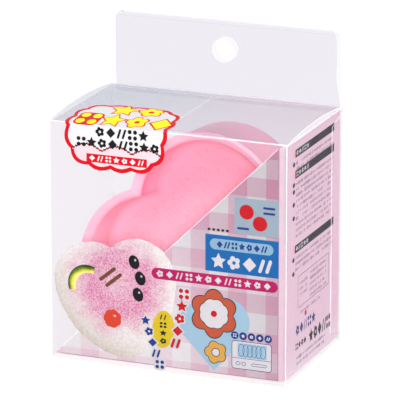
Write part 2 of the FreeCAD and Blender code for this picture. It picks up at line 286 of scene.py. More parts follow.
def clear_sheet_material(name, square_tint, slant_tint, gloss_level, reflection_tint=None):
    """PET sheet, calendered: clear and glossy, faintly grey, and greyer looked at along its face.

    The tint given for the box's right is the slanting tint there, where that is another one: a painted pink
    reflection of the card.
    """
    material, add = new_material(name)
    place = object_mm(add)
    facing = add("LayerWeight", {"Blend": 0.5}, "Facing")
    # painted shade and reflection: greyer to the left and the back, standing in for the darker surroundings
    # that the sheet reflects, with soft streaks of random tone
    axes = add("SeparateXYZ", (place,), None)
    streaks = add("TexNoise", {"Vector": place, "Scale": 1 / 26})
    uneven = add("Math MULTIPLY_ADD", (streaks, 0.2, -0.1))
    uneven = add("Math MULTIPLY_ADD", (axes["X"], -0.0028, uneven))
    uneven = add("Math MULTIPLY_ADD", (axes["Y"], 0.007, uneven))
    level = add("Math MINIMUM", (facing, 0.78))
    slant = add("Math MULTIPLY_ADD", (uneven, level, level), use_clamp=True)
    if reflection_tint is not None:
        across = add("MapRange", (axes["X"], -20, 30))
        slant_tint = add("Mix", {0: across, 6: slant_tint, 7: reflection_tint}, **COLOURS)
    clear = add("BsdfTransparent", (add("Mix", {0: slant, 6: square_tint, 7: slant_tint}, **COLOURS),))
    gloss = add("BsdfPrincipled", {"Base Color": "#FFFFFF", "Roughness": 0.18, "IOR": 1.57})
    shine = add("Math MULTIPLY", (add("Math POWER", (facing, 3)), gloss_level))
    add("OutputMaterial", (add("MixShader", (shine, clear, gloss)),), None)
    return material


def crease_material(name, crease_and_glint_white, cover, tint="#FFFFFF"):
    """PET sheet where it is folded or cut: the bend crazes it white, and on cut edges the white is a painted
    glint, standing in for the light that the edge pipes.
    """
    material, add = new_material(name)
    white = add("BsdfPrincipled", {"Base Color": crease_and_glint_white, "Roughness": 0.25, "IOR": 1.57})
    breaks = add("TexNoise", {"Vector": object_mm(add), "Scale": 1 / 9, "Detail": 3})
    amount = add("Math MULTIPLY_ADD", (breaks, 0.5, cover - 0.25), use_clamp=True)
    add("OutputMaterial", (add("MixShader", (amount, add("BsdfTransparent", (tint,)), white)),), None)
    return material


def coat_paper(add, place, base, shine=0.25):
    """Ends a material as coated card: smooth, with a soft sheen and a faint mottle in the coating."""
    grain = add("TexNoise", {"Vector": place, "Scale": 1 / 0.9, "Detail": 3})
    bump = add("Bump", {"Height": grain, "Strength": 0.05, "Distance": 0.05 * MM})
    rough = add("Math MULTIPLY_ADD", (grain, 0.16, 0.24))
    finish = {"Base Color": base, "Roughness": rough, "Normal": bump, "Specular IOR Level": shine}
    add("OutputMaterial", (add("BsdfPrincipled", finish),), None)


def ink_material(name, value, shine=0.25):
    """Offset ink on coated card: a flat colour that the screen leaves very slightly uneven."""
    material, add = new_material(name)
    place = object_mm(add)
    screen = add("TexNoise", {"Vector": place, "Scale": 1 / 0.7, "Detail": 1})
    dark = [c * 0.88 for c in value[:3]] + [1.0]
    coat_paper(add, place, add("Mix", {0: screen, 6: dark, 7: value}, **COLOURS), shine)
    return material


def gingham_material(card):
    """Card printed in gingham: two sets of translucent stripes, darker high up and paler towards the lower
    left, partly the print fading and partly painted shade high up under the lid.
    """
    material, add = new_material("gingham_printed_card")
    place = object_mm(add)
    axes = add("SeparateXYZ", (place,), None)
    square = card.square / MM

    def stripe(along, edge):
        """1 in every second band that is a square wide, counted from edge."""
        turns = add("Math DIVIDE", (add("Math SUBTRACT", (along, edge)), 2 * square))
        return add("Math GREATER_THAN", (add("Math FRACT", (turns,)), 0.5))

    columns = stripe(axes["X"], card.gingham_x / MM)
    rows = stripe(add("Math MULTIPLY", (axes["Z"], -1)), -card.gingham_z / MM - square)
    one, both = add("Math MAXIMUM", (columns, rows)), add("Math MULTIPLY", (columns, rows))
    grounds = []
    for paper, single, double in (
        (card.paper, card.single, card.double),
        (card.paper_low, card.single_low, card.double_low),
    ):
        striped = add("Mix", {0: one, 6: paper, 7: single}, **COLOURS)
        grounds.append(add("Mix", {0: both, 6: striped, 7: double}, **COLOURS))
    # darker high up: partly the print's fade, partly painted shade under the lid
    down = add("MapRange", (axes["Z"], 85, 0, 0, 0.45))
    left = add("MapRange", (axes["X"], 45, 0, 0, 0.55))
    fade_and_shade = add("Math POWER", (add("Math ADD", (down, left), use_clamp=True), 1.5))
    faded = add("Mix", {0: fade_and_shade, 6: grounds[0], 7: grounds[1]}, **COLOURS)
    clouds = add("TexNoise", {"Vector": place, "Scale": 1 / 1.1})
    screen = add("Mix", {0: clouds, 6: "#F2F2F2", 7: "#FFFFFF"}, **COLOURS)
    coat_paper(add, place, add("Mix", {0: 1, 6: faded, 7: screen}, **COLOURS, blend_type="MULTIPLY"))
    return material


def side_material(card):
    """The side panel's pale pink ground, paler at its foot, and greyer round the fold, which is painted shade
    where the card turns away.
    """
    material, add = new_material("pale_pink_printed_card")
    place = object_mm(add)
    axes = add("SeparateXYZ", (place,), None)
    foot = add("MapRange", (axes["Z"], 16, 2, 0, 0.7))
    panel = add("Mix", {0: foot, 6: card.side_pink, 7: "#EADCE2"}, **COLOURS)
    bend_end = CARD_LOW.y + card.fold_radius / MM
    fold = add("MapRange", (axes["Y"], bend_end, bend_end - 0.8))
    ground = add("Mix", {0: fold, 6: panel, 7: card.shaded_fold_pink}, **COLOURS)
    clouds = add("TexNoise", {"Vector": place, "Scale": 1 / 3.5})
    screen = add("Mix", {0: clouds, 6: "#F4F0F2", 7: "#FFFFFF"}, **COLOURS)
    coat_paper(add, place, add("Mix", {0: 1, 6: ground, 7: screen}, **COLOURS, blend_type="MULTIPLY"))
    return material


def rice_material(rice):
    """Printed picture of packed rice: pearly grains, dusted pink in the middle and plain at the rim."""
    material, add = new_material("printed_rice")
    place = object_mm(add)
    grains = add("TexVoronoi", {"Vector": place, "Scale": 1 / 1.15}, "Distance")
    fine = add("TexNoise", {"Vector": place, "Scale": 1 / 0.55})
    blotch = add("TexNoise", {"Vector": place, "Scale": 1 / 6, "Detail": 3})
    centred = add("VectorMath ADD", (place, (21, 0, -33.5)))
    scaled = add("VectorMath MULTIPLY", (centred, (1 / 25, 0, 1 / 24)))
    reach = add("VectorMath LENGTH", (scaled,), "Value")
    rim = add("Math ADD", (reach, add("Math MULTIPLY_ADD", (blotch, 0.55, -0.28))))
    bare = add("MapRange", (rim, 0.5, 0, 0, 0.45))
    dusting = add("Math SUBTRACT", (add("MapRange", (rim, 0.94, 0.45)), bare))
    specks = add("Math MULTIPLY", (dusting, add("Math MULTIPLY_ADD", (fine, 1.6, 0.1))), use_clamp=True)
    grain_light = add("Mix", {0: add("MapRange", (grains, 0, 0.9)), 6: "#FFFFFF", 7: "#E2DED8"}, **COLOURS)
    # the print is shaded along the lower left of the heart
    axes = add("SeparateXYZ", (centred,), None)
    low = add("Math MULTIPLY_ADD", (add("Math ADD", (axes["X"], axes["Z"])), -1 / 46, -0.22))
    low = add("Math MAXIMUM", (low, 0))
    turned_away = add("Math MULTIPLY", (low, add("Math POWER", (reach, 3))), use_clamp=True)
    plain = add("Mix", {0: turned_away, 6: rice.cream, 7: rice.shade}, **COLOURS)
    pearly = add("Mix", {0: 0.7, 6: plain, 7: grain_light}, **COLOURS, blend_type="MULTIPLY")
    dusted = add("Mix", {0: specks, 6: pearly, 7: rice.pink}, **COLOURS)
    thick = add("Math GREATER_THAN", (fine, 0.56))
    deep = add("Math MULTIPLY", (thick, add("Math MULTIPLY", (dusting, 0.62))))
    coat_paper(add, place, add("Mix", {0: deep, 6: dusted, 7: rice.deep_pink}, **COLOURS))
    return material


def green_slice_material(rice):
    """Printed picture of a green slice: dark rind outside, yellow-green flesh inside."""
    material, add = new_material("printed_green_slice")
    place = object_mm(add)
    across = add("SeparateXYZ", (add("UVMap"),), "Y")
    clouds = add("TexNoise", {"Vector": place, "Scale": 1})
    band = add("Math ADD", (across, add("Math MULTIPLY_ADD", (clouds, 0.3, -0.15))))
    shade = add("ValToRGB", (band,))
    stops = ((0, rice.rind), (0.3, linear("#5F7A22")), (0.6, rice.flesh), (1, linear("#E6DC78")))
    elements = shade.node.color_ramp.elements
    while len(elements) < len(stops):
        elements.new(0.5)
    for element, (position, value) in zip(elements, stops):
        element.position, element.color = position, value
    coat_paper(add, place, shade)
    return material


def mold_material(name, mold, deep_pink, throat):
    """Polypropylene, injection moulded: soft satin pink, with painted light and shade: paler at the thin lip
    where light comes through, and a deeper pink of painted shade just inside it.

    throat is 1 for the wall below the lip, and 0 elsewhere.
    """
    material, add = new_material(name)
    place = object_mm(add)
    axes = add("SeparateXYZ", (place,), None)
    inner = mold.mouth_y / MM
    lip = add("MapRange", (axes["Y"], inner + 0.6, inner - 0.4))
    # painted light: paler towards the back, over the outer wall and the dome
    back = add("MapRange", (axes["Y"], inner - mold.lip_rise / MM, 31, 0, 0.35))
    # painted shade: the wall just inside the lip is a deeper pink high up, where the rim shades it
    deep = add("MapRange", (axes["Y"], inner + 11, inner + 1, 0, throat))
    wall_high = add("MapRange", (axes["Z"], 40, 58))
    deep = add("Math MULTIPLY", (deep, wall_high))
    # painted shade: the floors take on the deeper pink too, up under the lip; painted light: they are paler
    # behind the card's slanted edge, where the card shades them
    normal = add("NewGeometry", out="Normal")
    forward = add("Math MULTIPLY", (add("SeparateXYZ", (normal,), "Y"), -1), use_clamp=True)
    high = add("MapRange", (axes["Z"], 40, 62, 0.08, 0.62))
    painted_shade_share = add("Math MAXIMUM", (deep, add("Math MULTIPLY", (high, forward))))
    # painted light: paler near the card's slanted edge, lifting the shade that the card casts
    slant = add("Math SUBTRACT", (axes["Z"], axes["X"]))
    below = add("MapRange", (axes["Z"], 56, 70, 1, 0.15))
    card_shadow_lift = add("Math MULTIPLY", (add("MapRange", (slant, 76, 56)), below))
    # the throat wall is paler low down, away from the painted shade up under the lip
    wall_low = add("Math MULTIPLY", (add("Math SUBTRACT", (1, wall_high)), throat))
    paler = add("Math MAXIMUM", (wall_low, add("Math MULTIPLY", (card_shadow_lift, forward))))
    wall = add("Mix", {0: painted_shade_share, 6: deep_pink, 7: mold.shaded_throat_pink}, **COLOURS)
    for share in (paler, lip, add("Math MULTIPLY", (back, 0.5))):
        wall = add("Mix", {0: share, 6: wall, 7: mold.lit_lip_pink}, **COLOURS)
    clouds = add("TexNoise", {"Vector": place, "Scale": 1 / 14})
    cloudy = add("Mix", {0: clouds, 6: "#FCF6F9", 7: "#FFFFFF"}, **COLOURS)
    plastic = add("Mix", {0: 1, 6: wall, 7: cloudy}, **COLOURS, blend_type="MULTIPLY")
    stipple = add("TexVoronoi", {"Vector": place, "Scale": 1 / 1.3}, "Distance")
    bump = add("Bump", {"Height": stipple, "Strength": 0.06, "Distance": 0.12 * MM})
    finish = {"Base Color": plastic, "Roughness": 0.36, "IOR": 1.49, "Specular IOR Level": 1.0}
    add("OutputMaterial", (add("BsdfPrincipled", {**finish, "Normal": bump}),), None)
    return material


# --- outlines in a sheet's own (u, v), in millimetres --------------------------------


def arc(centre, radius, start, end, steps):
    """Points along an arc, its angles in degrees."""
    turns = [math.radians(start + (end - start) * i / steps) for i in range(steps + 1)]
    return [(centre[0] + radius * math.cos(t), centre[1] + radius * math.sin(t)) for t in turns]


def arc_through(a, b, c, steps):
    """Points along the arc from a through b to c, without c."""
    points = [Vector(p) for p in (a, b, c)]
    (ax, ay), (bx, by), (cx, cy) = points
    a2, b2, c2 = (p.length_squared for p in points)
    twice_area = 2 * (ax * (by - cy) + bx * (cy - ay) + cx * (ay - by))
    x = (a2 * (by - cy) + b2 * (cy - ay) + c2 * (ay - by)) / twice_area
    y = (a2 * (cx - bx) + b2 * (ax - cx) + c2 * (bx - ax)) / twice_area
    start, middle, end = (math.degrees(math.atan2(p.y - y, p.x - x)) for p in points)
    sweep = (end - start) % 360
    if (middle - start) % 360 > sweep:
        sweep -= 360
    return arc((x, y), math.hypot(ax - x, ay - y), start, start + sweep, steps)[:-1]


def rounded(u0, u1, v0, v1, radius=0.1, steps=6):
    """A rectangle with round corners."""
    points = []
    for u, v, turn in ((u1, v1, 0), (u0, v1, 90), (u0, v0, 180), (u1, v0, 270)):
        centre = (u - radius if u == u1 else u + radius, v - radius if v == v1 else v + radius)
        points += arc(centre, radius, turn, turn + 90, steps)
    return points


def pill(u0, u1, v0, v1):
    return rounded(u0, u1, v0, v1, (v1 - v0) / 2 - 0.001, 8)


def turned(points, u, v, lean):
    """Points turned by some degrees, then moved."""
    c, s = math.cos(math.radians(lean)), math.sin(math.radians(lean))
    return [(u + a * c - b * s, v + a * s + b * c) for a, b in points]


def oval(u, v, half_u, half_v, lean=0.0, steps=28):
    """An ellipse, leaning by some degrees."""
    around = [2 * math.pi * i / steps for i in range(steps)]
    return turned([(half_u * math.cos(t), half_v * math.sin(t)) for t in around], u, v, lean)


def dash(u, v, long, thick, lean=0.0):
    """A round-ended stroke centred on a point, leaning by some degrees."""
    radius = min(thick, long) / 2 - 0.001
    return turned(rounded(-long / 2, long / 2, -thick / 2, thick / 2, radius, 4), u, v, lean)


def flower(u, v, reach, depth, petals, steps=12):
    """A round with scalloped petals."""
    around = [2 * math.pi * i / (petals * steps) for i in range(petals * steps)]
    radii = [reach - depth * (1 - abs(math.sin(petals * t / 2))) for t in around]
    return [(u + r * math.cos(t), v + r * math.sin(t)) for r, t in zip(radii, around)]


def star(u, v, half_u, half_v):
    """A five-pointed star."""
    points = [(math.radians(90 + 36 * i), 0.5 if i % 2 else 1.0) for i in range(10)]
    return [(u + half_u * share * math.cos(t), v + half_v * share * math.sin(t)) for t, share in points]


def plain_mark(u, v, wide, high, stroke, kind, grow):
    """One of five plain marks as shapes: a pierced flower, four dots, a diamond, a star or two slanting bars.

    grow widens it all round.
    """
    half_u, half_v = wide / 2 + grow, high / 2 + grow
    if kind == 0:
        head = [(u + a * half_u, v + b * half_v) for a, b in flower(0, 0, 1, 0.3, 5, 4)]
        return [[head]] if grow else [[head, oval(u, v, 0.26 * half_u, 0.26 * half_v)]]
    if kind == 1 and grow:
        return [[rounded(u - half_u, u + half_u, v - half_v, v + half_v, 0.3 * wide)]]
    if kind == 1:
        spots = [(u + i * 0.29 * wide, v + j * 0.29 * high) for i in (-1, 1) for j in (-1, 1)]
        return [[oval(a, b, 0.21 * wide, 0.21 * high)] for a, b in spots]
    if kind == 2:
        half_u, half_v = half_u + 0.3 * grow, half_v + 0.3 * grow
        return [[[(u + half_u, v), (u, v + half_v), (u - half_u, v), (u, v - half_v)]]]
    if kind == 3:
        return [[star(u, v, wide * 0.575 + 1.6 * grow, high * 0.575 + 1.6 * grow)]]
    shift = (wide - stroke) * 0.35
    return [[dash(u + side * shift, v, high + 2 * grow, stroke + 2 * grow, 72)] for side in (-1, 1)]


def mark_line(start, step, count, size, stroke, first=0, grow=0.0):
    """A line of plain marks that take turns."""
    shapes = []
    for i in range(count):
        u, v = start[0] + step[0] * i, start[1] + step[1] * i
        shapes += plain_mark(u, v, *size, stroke, (first + 2 * i) % 5, grow)
    return shapes


# --- meshes -------------------------------------------------------------------------


def new_mesh(name, bm):
    mesh = bpy.data.meshes.new(name)
    bm.to_mesh(mesh)
    bm.free()
    return mesh


def sheet_mesh(shapes, place, low, high, cuts=(), keep=None, zone=None, reverse=None):
    """Thin closed solids between two heights over a sheet.

    A shape is a list of loops, its outside and then its holes. It is cut along lines given as
    (point, normal), and faces that keep(u, v) refuses are left out. Cut edges take material 1, faces
    what zone(u, v) says, and the lower face reverse where that is given.
    """
    whole = bmesh.new()
    for loops in shapes:
        part = bmesh.new()
        vertices = [part.verts.new((u, v, 0)) for loop in loops for u, v in loop]
        for triangle in tessellate_polygon([[Vector((u, v, 0)) for u, v in loop] for loop in loops]):
            part.faces.new([vertices[i] for i in triangle])
        for point, normal in cuts:
            everything = part.verts[:] + part.edges[:] + part.faces[:]
            plane = {"plane_co": (*point, 0), "plane_no": (*normal, 0)}
            bmesh.ops.bisect_plane(part, geom=everything, dist=1e-6, **plane)
        if keep:
            doomed = [f for f in part.faces if not keep(*f.calc_center_median().xy)]
            bmesh.ops.delete(part, geom=doomed, context="FACES")
        under = part.faces[:]
        for face in under:
            face.material_index = zone(*face.calc_center_median().xy) if zone else 0
        made = bmesh.ops.extrude_face_region(part, geom=under, use_keep_orig=True)["geom"]
        for vertex in (v for v in made if isinstance(v, bmesh.types.BMVert)):
            vertex.co.z = 1
        for face in set(part.faces).difference(under, (f for f in made if isinstance(f, bmesh.types.BMFace))):
            face.material_index = 1
        if reverse is not None:
            for face in under:
                face.material_index = reverse
        for vertex in part.verts:
            vertex.co = place(vertex.co.x, vertex.co.y, high if vertex.co.z > 0.5 else low) * MM
        bmesh.ops.recalc_face_normals(part, faces=part.faces[:])
        joined = new_mesh("part", part)
        whole.from_mesh(joined)
        bpy.data.meshes.remove(joined)
    return new_mesh("sheet", whole)


def add_piece(name, mesh, materials, body, slot, *nodes):
    """Puts a mesh in the scene, on its body, and hides the nodes that it stands for. slot is not used."""
    mesh.name = name
    for material in materials:
        mesh.materials.append(material)
    piece = bpy.data.objects.new(name, mesh)
    bpy.context.scene.collection.objects.link(piece)
    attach(piece, body)
    if nodes:
        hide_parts(*nodes)
    return piece


def node_tree(name, **sockets):
    """A new Geometry Nodes tree with a geometry in and out and named inputs, its add_node and its inputs."""
    tree = bpy.data.node_groups.new(name, "GeometryNodeTree")
    for socket, kind in {"Geometry": "Geometry", **sockets}.items():
        tree.interface.new_socket(socket, in_out="INPUT", socket_type="NodeSocket" + kind)
    tree.interface.new_socket("Geometry", in_out="OUTPUT", socket_type="NodeSocketGeometry")
    add = partial(add_node, tree)
    return tree, add, add("NodeGroupInput", out=None)


def apply_nodes(piece, tree, **values):
    """Runs a Geometry Nodes tree on a piece, its inputs set by name, and keeps the result as a plain mesh."""
    modifier = piece.modifiers.new(tree.name, "NODES")
    modifier.node_group = tree
    for item in tree.interface.items_tree:
        if item.name in values:
            modifier[item.identifier] = values[item.name]
    graph = bpy.context.evaluated_depsgraph_get()
    piece.data = bpy.data.meshes.new_from_object(piece.evaluated_get(graph))
    piece.modifiers.clear()


# --- the clear box ------------------------------------------------------------------


def clear_materials(context, sheet="clear_pet_sheet", edge="cut_pet_edge"):
    """A panel's sheet, its cut edges and its creases. All of them are made the first time."""
    box = context.scene.clear_box
    if sheet not in bpy.data.materials:
        clear_sheet_material("clear_pet_sheet", box.tint, box.slant_tint, 0.04)
        clear_sheet_material("clear_pet_lid", box.lid_square_tint, box.lid_tint, 0.15, box.lid_pink_reflection_tint)
        clear_sheet_material("clear_pet_hang_tab", box.tab_tint, box.tab_tint, 0.22)
        clear_sheet_material("clear_pet_tuck", "#FFFEFE", "#FFFEFE", 0.02)
        crease_material("cut_pet_edge", box.crease_and_glint_white, 0.5)
        crease_material("plain_pet_edge", box.crease_and_glint_white, 0.1, "#ECECEF")
        crease_material("folded_pet_crease", box.crease_and_glint_white, 0.39)
    return [bpy.data.materials[n] for n in (sheet, edge, "folded_pet_crease")]


def flat(u, v, w):
    """A point of a level sheet at the height w."""
    return Vector((u, v, w))


BEND_STEPS = 5  # flats round one of the sleeve's folded corners


def folded_path(corners, radius):
    """(distance, point, outward normal) along a path with rounded corners that all turn left."""
    ahead = [(b - a).normalized() for a, b in zip(corners, corners[1:])]
    spots = [(corners[0], Vector((ahead[0].y, -ahead[0].x)))]
    for corner, way in zip(corners[1:-1], ahead):
        centre = corner + (Vector((-way.y, way.x)) - way) * radius
        for k in range(BEND_STEPS + 1):
            turn = math.atan2(-way.x, way.y) + math.pi / 2 * k / BEND_STEPS
            spoke = Vector((math.cos(turn), math.sin(turn)))
            spots.append((centre + spoke * radius, spoke))
    spots.append((corners[-1], Vector((ahead[-1].y, -ahead[-1].x))))
    stations, reached = [], 0.0
    for (point, normal), (last, _) in zip(spots, spots[:1] + spots):
        reached += (point - last).length
        stations.append((reached, point, normal))
    return stations


class RICEMOLD_OT_sleeve(bpy.types.Operator):
    """Builds the box's four walls and glue flap, as the one folded sheet that they are"""

    bl_idname = "rice_mold.sleeve"
    bl_label = "Clear sleeve"

    def execute(self, context):
        radius = context.scene.clear_box.crease_radius / MM
        left, front, lift = LEFT_LOW.x, FRONT_LOW.y, LEFT_LOW.z
        # outside face, from the back wall's end at the glue flap round to the right wall's free edge
        corners = [(RIGHT_X - SHEET, BACK_Y), (left, BACK_Y), (left, front), (RIGHT_X, front)]
        corners += [(RIGHT_X, BACK_Y - SHEET)]
        stations = folded_path([Vector(c) for c in corners], radius)
        end = stations[-1][0]
        bends = [s[0] for s in stations[1:-1]]
        folds = [(bends[i], bends[i + BEND_STEPS]) for i in range(0, len(bends), BEND_STEPS + 1)]
        a, b, c = (sum(fold) / 2 for fold in folds)  # where one wall ends and the next starts
        top, side_top = FRONT_HIGH.z, LEFT_HIGH.z
        outline = [
            (0, 0), (a, 0), (a, lift), (b, lift), (b, 0), (c, 0), (c, lift), (end, lift), (end, side_top),
            (c, side_top), (c, top), (b, top), (b, side_top), (a, side_top), (a, top), (0, top),
        ]
        slack = 0.01

        def place(u, v, w):
            for (d0, p0, n0), (d1, p1, n1) in zip(stations, stations[1:]):
                if u <= d1:
                    break
            share = (u - d0) / (d1 - d0)
            inward = p0.lerp(p1, share) - n0.lerp(n1, share).normalized() * w
            return Vector((inward.x, inward.y, v))

        def zone(u, v):
            return 2 if any(first - slack < u < last + slack for first, last in folds) else 0

        cuts = [((bend, 0), (1, 0)) for bend in bends]
        mesh = sheet_mesh([[outline]], place, 0.0, SHEET, cuts, zone=zone)
        walls = ("front_wall", "back_wall", "left_wall", "right_wall")
        add_piece("clear_sleeve", mesh, clear_materials(context), "box", "clear_sheet", *walls)
        low, high = span("glue_flap")
        chamfer = 3.0
        strip = [(high.y, low.z), (high.y, high.z), (low.y, high.z - chamfer), (low.y, low.z + chamfer)]
        flap = sheet_mesh([[strip]], lambda u, v, w: Vector((w, u, v)), low.x, high.x)
        sheets = clear_materials(context, "clear_pet_tuck")
        add_piece("glue_flap_sheet", flap, sheets, "box", "clear_sheet", "glue_flap")
        return {"FINISHED"}


def lid_height(y, rise):
    """Height of the bowed lid's outer face at y, in millimetres."""
    half, middle = (LID_HIGH.y - LID_LOW.y) / 2, (LID_HIGH.y + LID_LOW.y) / 2
    radius = (half * half + rise * rise) / (2 * rise)
    return FRONT_HIGH.z + rise - radius + math.sqrt(max(radius * radius - (y - middle) ** 2, 0))


class RICEMOLD_OT_top_and_bottom(bpy.types.Operator):
    """Builds the bowed lid, the flat bottom, their tucks and the four dust flaps"""

    bl_idname = "rice_mold.top_and_bottom"
    bl_label = "Top and bottom panels"

    def execute(self, context):
        box = context.scene.clear_box
        rise, band = box.lid_rise / MM, box.crease_band / MM
        clearest = clear_materials(context, "clear_pet_tuck", "clear_pet_tuck")
        left, right, front, back = LID_LOW.x, LID_HIGH.x, LID_LOW.y, LID_HIGH.y
        outline = [(left, front), (right, front), (right, back), (left, back)]
        rows = [front + band, back - band] + [front + (back - front) * i / 32 for i in range(1, 32)]

        def zone(u, v):
            return 2 if v < front + band or v > back - band else 0

        def bowed(u, v, w):
            return Vector((u, v, lid_height(v, rise) + w))

        lid = sheet_mesh([[outline]], bowed, -SHEET, 0.0, [((0, v), (0, 1)) for v in rows], zone=zone)
        sheets = clear_materials(context, "clear_pet_lid")
        add_piece("top_lid_sheet", lid, sheets, "top_panel", "clear_sheet", "top_lid")
        low, high = span("bottom_lid")
        base = [(low.x, low.y), (high.x, low.y), (high.x, high.y), (low.x, high.y)]
        bottom = sheet_mesh([[base]], flat, low.z, high.z)
        add_piece("bottom_lid_sheet", bottom, clearest, "bottom_panel", "clear_sheet", "bottom_lid")
        for name, up in (("top_tuck", -1), ("bottom_tuck", 1)):
            self.tuck(name, up, box.tuck_lean, box.tuck_corner / MM, clearest)
        for end, sheets in (("top", clear_materials(context)), ("bottom", clearest)):
            for side in ("left", "right"):
                body = "top_flap_" + side if end == "top" else "box"
                self.dust_flap(f"{end}_dust_flap_{side}", body, sheets)
        return {"FINISHED"}

    def tuck(self, name, up, lean, corner, sheets):
        low, high = span(name)
        crease, free = (low.z, high.z) if up > 0 else (high.z, low.z)
        down, half = abs(free - crease) / math.cos(lean), high.x
        outline = [(-half, 0), (half, 0)] + arc((half - corner, down - corner), corner, 0, 90, 8)
        outline += arc((corner - half, down - corner), corner, 90, 180, 8)

        def place(u, v, w):
            y = low.y + v * math.sin(lean) + w * math.cos(lean)
            return Vector((u, y, crease + up * (v * math.cos(lean) - w * math.sin(lean))))

        mesh = sheet_mesh([[outline]], place, 0.0, SHEET - 0.02)
        add_piece(name + "_sheet", mesh, sheets, name + "_panel", "clear_sheet", name)

    def dust_flap(self, name, body, sheets):
        low, high = span(name)
        crease, free = (high.x, low.x) if name.endswith("right") else (low.x, high.x)
        narrow = 2.0
        outline = [(crease, low.y), (free, low.y + narrow), (free, high.y - narrow), (crease, high.y)]
        mesh = sheet_mesh([[outline]], flat, low.z, high.z)
        add_piece(name + "_sheet", mesh, sheets, body, "clear_sheet", name)


class RICEMOLD_OT_hang_tab(bpy.types.Operator):
    """Builds the hang tab's two plies with their round hole"""

    bl_idname = "rice_mold.hang_tab"
    bl_label = "Hang tab"

    def execute(self, context):
        box = context.scene.clear_box
        low, high = span("hang_tab_rear")
        front_low, front_high = span("hang_tab_front")
        half, corner, hole_r = high.x, box.tab_corner / MM, box.hole_radius / MM
        hole = oval(0, box.hole_height / MM, hole_r, hole_r, steps=48)
        fold_r, fold_z = (high.y - front_low.y) / 2, high.z  # the fold's outside radius and where it starts
        middle_r = fold_r - SHEET / 2
        level, skew = box.tab_splay_top / MM, box.tab_skew / MM
        sheets = clear_materials(context, "clear_pet_hang_tab", "plain_pet_edge")

        def half_width(z):
            """The tab's half width at a height, with its round top corners."""
            over = max(z - (front_high.z - corner), 0)
            return half - corner + math.sqrt(max(corner * corner - over * over, 0))

        sides = [(half_width(z), z) for z in (low.z + (high.z - low.z) * i / 12 for i in range(13))]
        outline = sides + [(-x, z) for x, z in reversed(sides)]
        rear = sheet_mesh([[outline, hole]], lambda u, v, w: Vector((u, w, v)), low.y, high.y)
        add_piece("hang_tab_rear_sheet", rear, sheets, "box", "clear_sheet", "hang_tab_rear")
        foot_y = low.y - SHEET

        def folded(v):
            """Outer face and outward direction, as (y, z), at a height v that runs on over the fold."""
            if v > fold_z:
                turn = (v - fold_z) / middle_r
                out = Vector((-math.cos(turn), math.sin(turn)))
                return Vector((high.y - fold_r, fold_z)) + out * fold_r, out
            share = min(max((v - low.z) / (level - low.z), 0), 1)
            eased = 0.5 * share + 0.5 * share * share * (3 - 2 * share)
            return Vector((foot_y + (front_low.y - foot_y) * eased, v)), Vector((-1, 0))

        def place(u, v, w):
            at, out = folded(v)
            return Vector((u, *(at - out * w)))

        heights = [front_low.z + (fold_z - front_low.z) * i / 24 for i in range(24)]
        heights += [fold_z + math.pi * middle_r * i / 12 for i in range(13)]
        right = [(half_width(folded(v)[0].y), v) for v in heights]
        left = [(skew * (high.y - folded(v)[0].x) / (2 * fold_r) - x, v) for x, v in reversed(right)]
        cuts = [((0, v), (0, 1)) for v in heights[1:-1]]
        front = sheet_mesh([[right + left, hole]], place, 0.0, SHEET, cuts)
        add_piece("hang_tab_front_sheet", front, sheets, "box", "clear_sheet", "hang_tab_front")
        return {"FINISHED"}


# --- the insert card ----------------------------------------------------------------

FOLD_X = CARD_HIGH.x  # where the front panel ends and the fold starts
CARD_LEFT = -48.8  # the front panel's sharp lower corner
COAT = 0.04  # how far the front panel's printed face is set back
# the rice heart's notch, left flank, tip and right flank, and a point between each and the next
RICE_CORNERS = [(-24.2, 48.7), (-48.9, 31.9), (-15.3, 2.8), (3.7, 35.2)]
RICE_MIDDLES = [(-44.3, 44.7), (-40.0, 13.6), (-1.4, 16.7), (-8.8, 53.1)]
RICE_CENTRE = Vector((-22.5, 29.0))
INK_STEP = 0.011  # height of one layer of ink over the one below
INK_DEPTH = -0.05  # how far an ink's skin goes into the card


def rice_outline(shrink=0.35, wobble=0.3):
    """The rice heart, a little smaller than its arcs and uneven."""
    points = []
    for start, middle, end in zip(RICE_CORNERS, RICE_MIDDLES, RICE_CORNERS[1:] + RICE_CORNERS[:1]):
        points += arc_through(start, middle, end, 24)
    moved = []
    for i, point in enumerate(points):
        spoke = Vector(point) - RICE_CENTRE
        uneven = wobble * (math.sin(i * 1.9) + math.sin(i * 0.83 + 1.0) + math.sin(i * 3.1)) / 3
        moved.append(tuple(RICE_CENTRE + spoke * (1 - (shrink + uneven) / spoke.length)))
    return moved


def on_front(u, v, w):
    """A point over the front card's printed face."""
    return Vector((u, CARD_LOW.y + COAT - w, v))


def on_side(u, v, w):
    """A point over the side panel's printed face."""
    return Vector((SIDE_HIGH.x + w, u, v))


def print_inks(place, *prints):
    """Prints (name, shapes, colour, layer) as skins over the card. The side panel's inks are duller."""
    for name, shapes, value, layer in prints:
        material = ink_material(name, value, 0.06 if place is on_side else 0.25)
        loops = [s if isinstance(s[0], list) else [s] for s in shapes]
        mesh = sheet_mesh(loops, place, INK_DEPTH, INK_STEP * layer)
        add_piece(name, mesh, [material, material], "box", "printed_card")


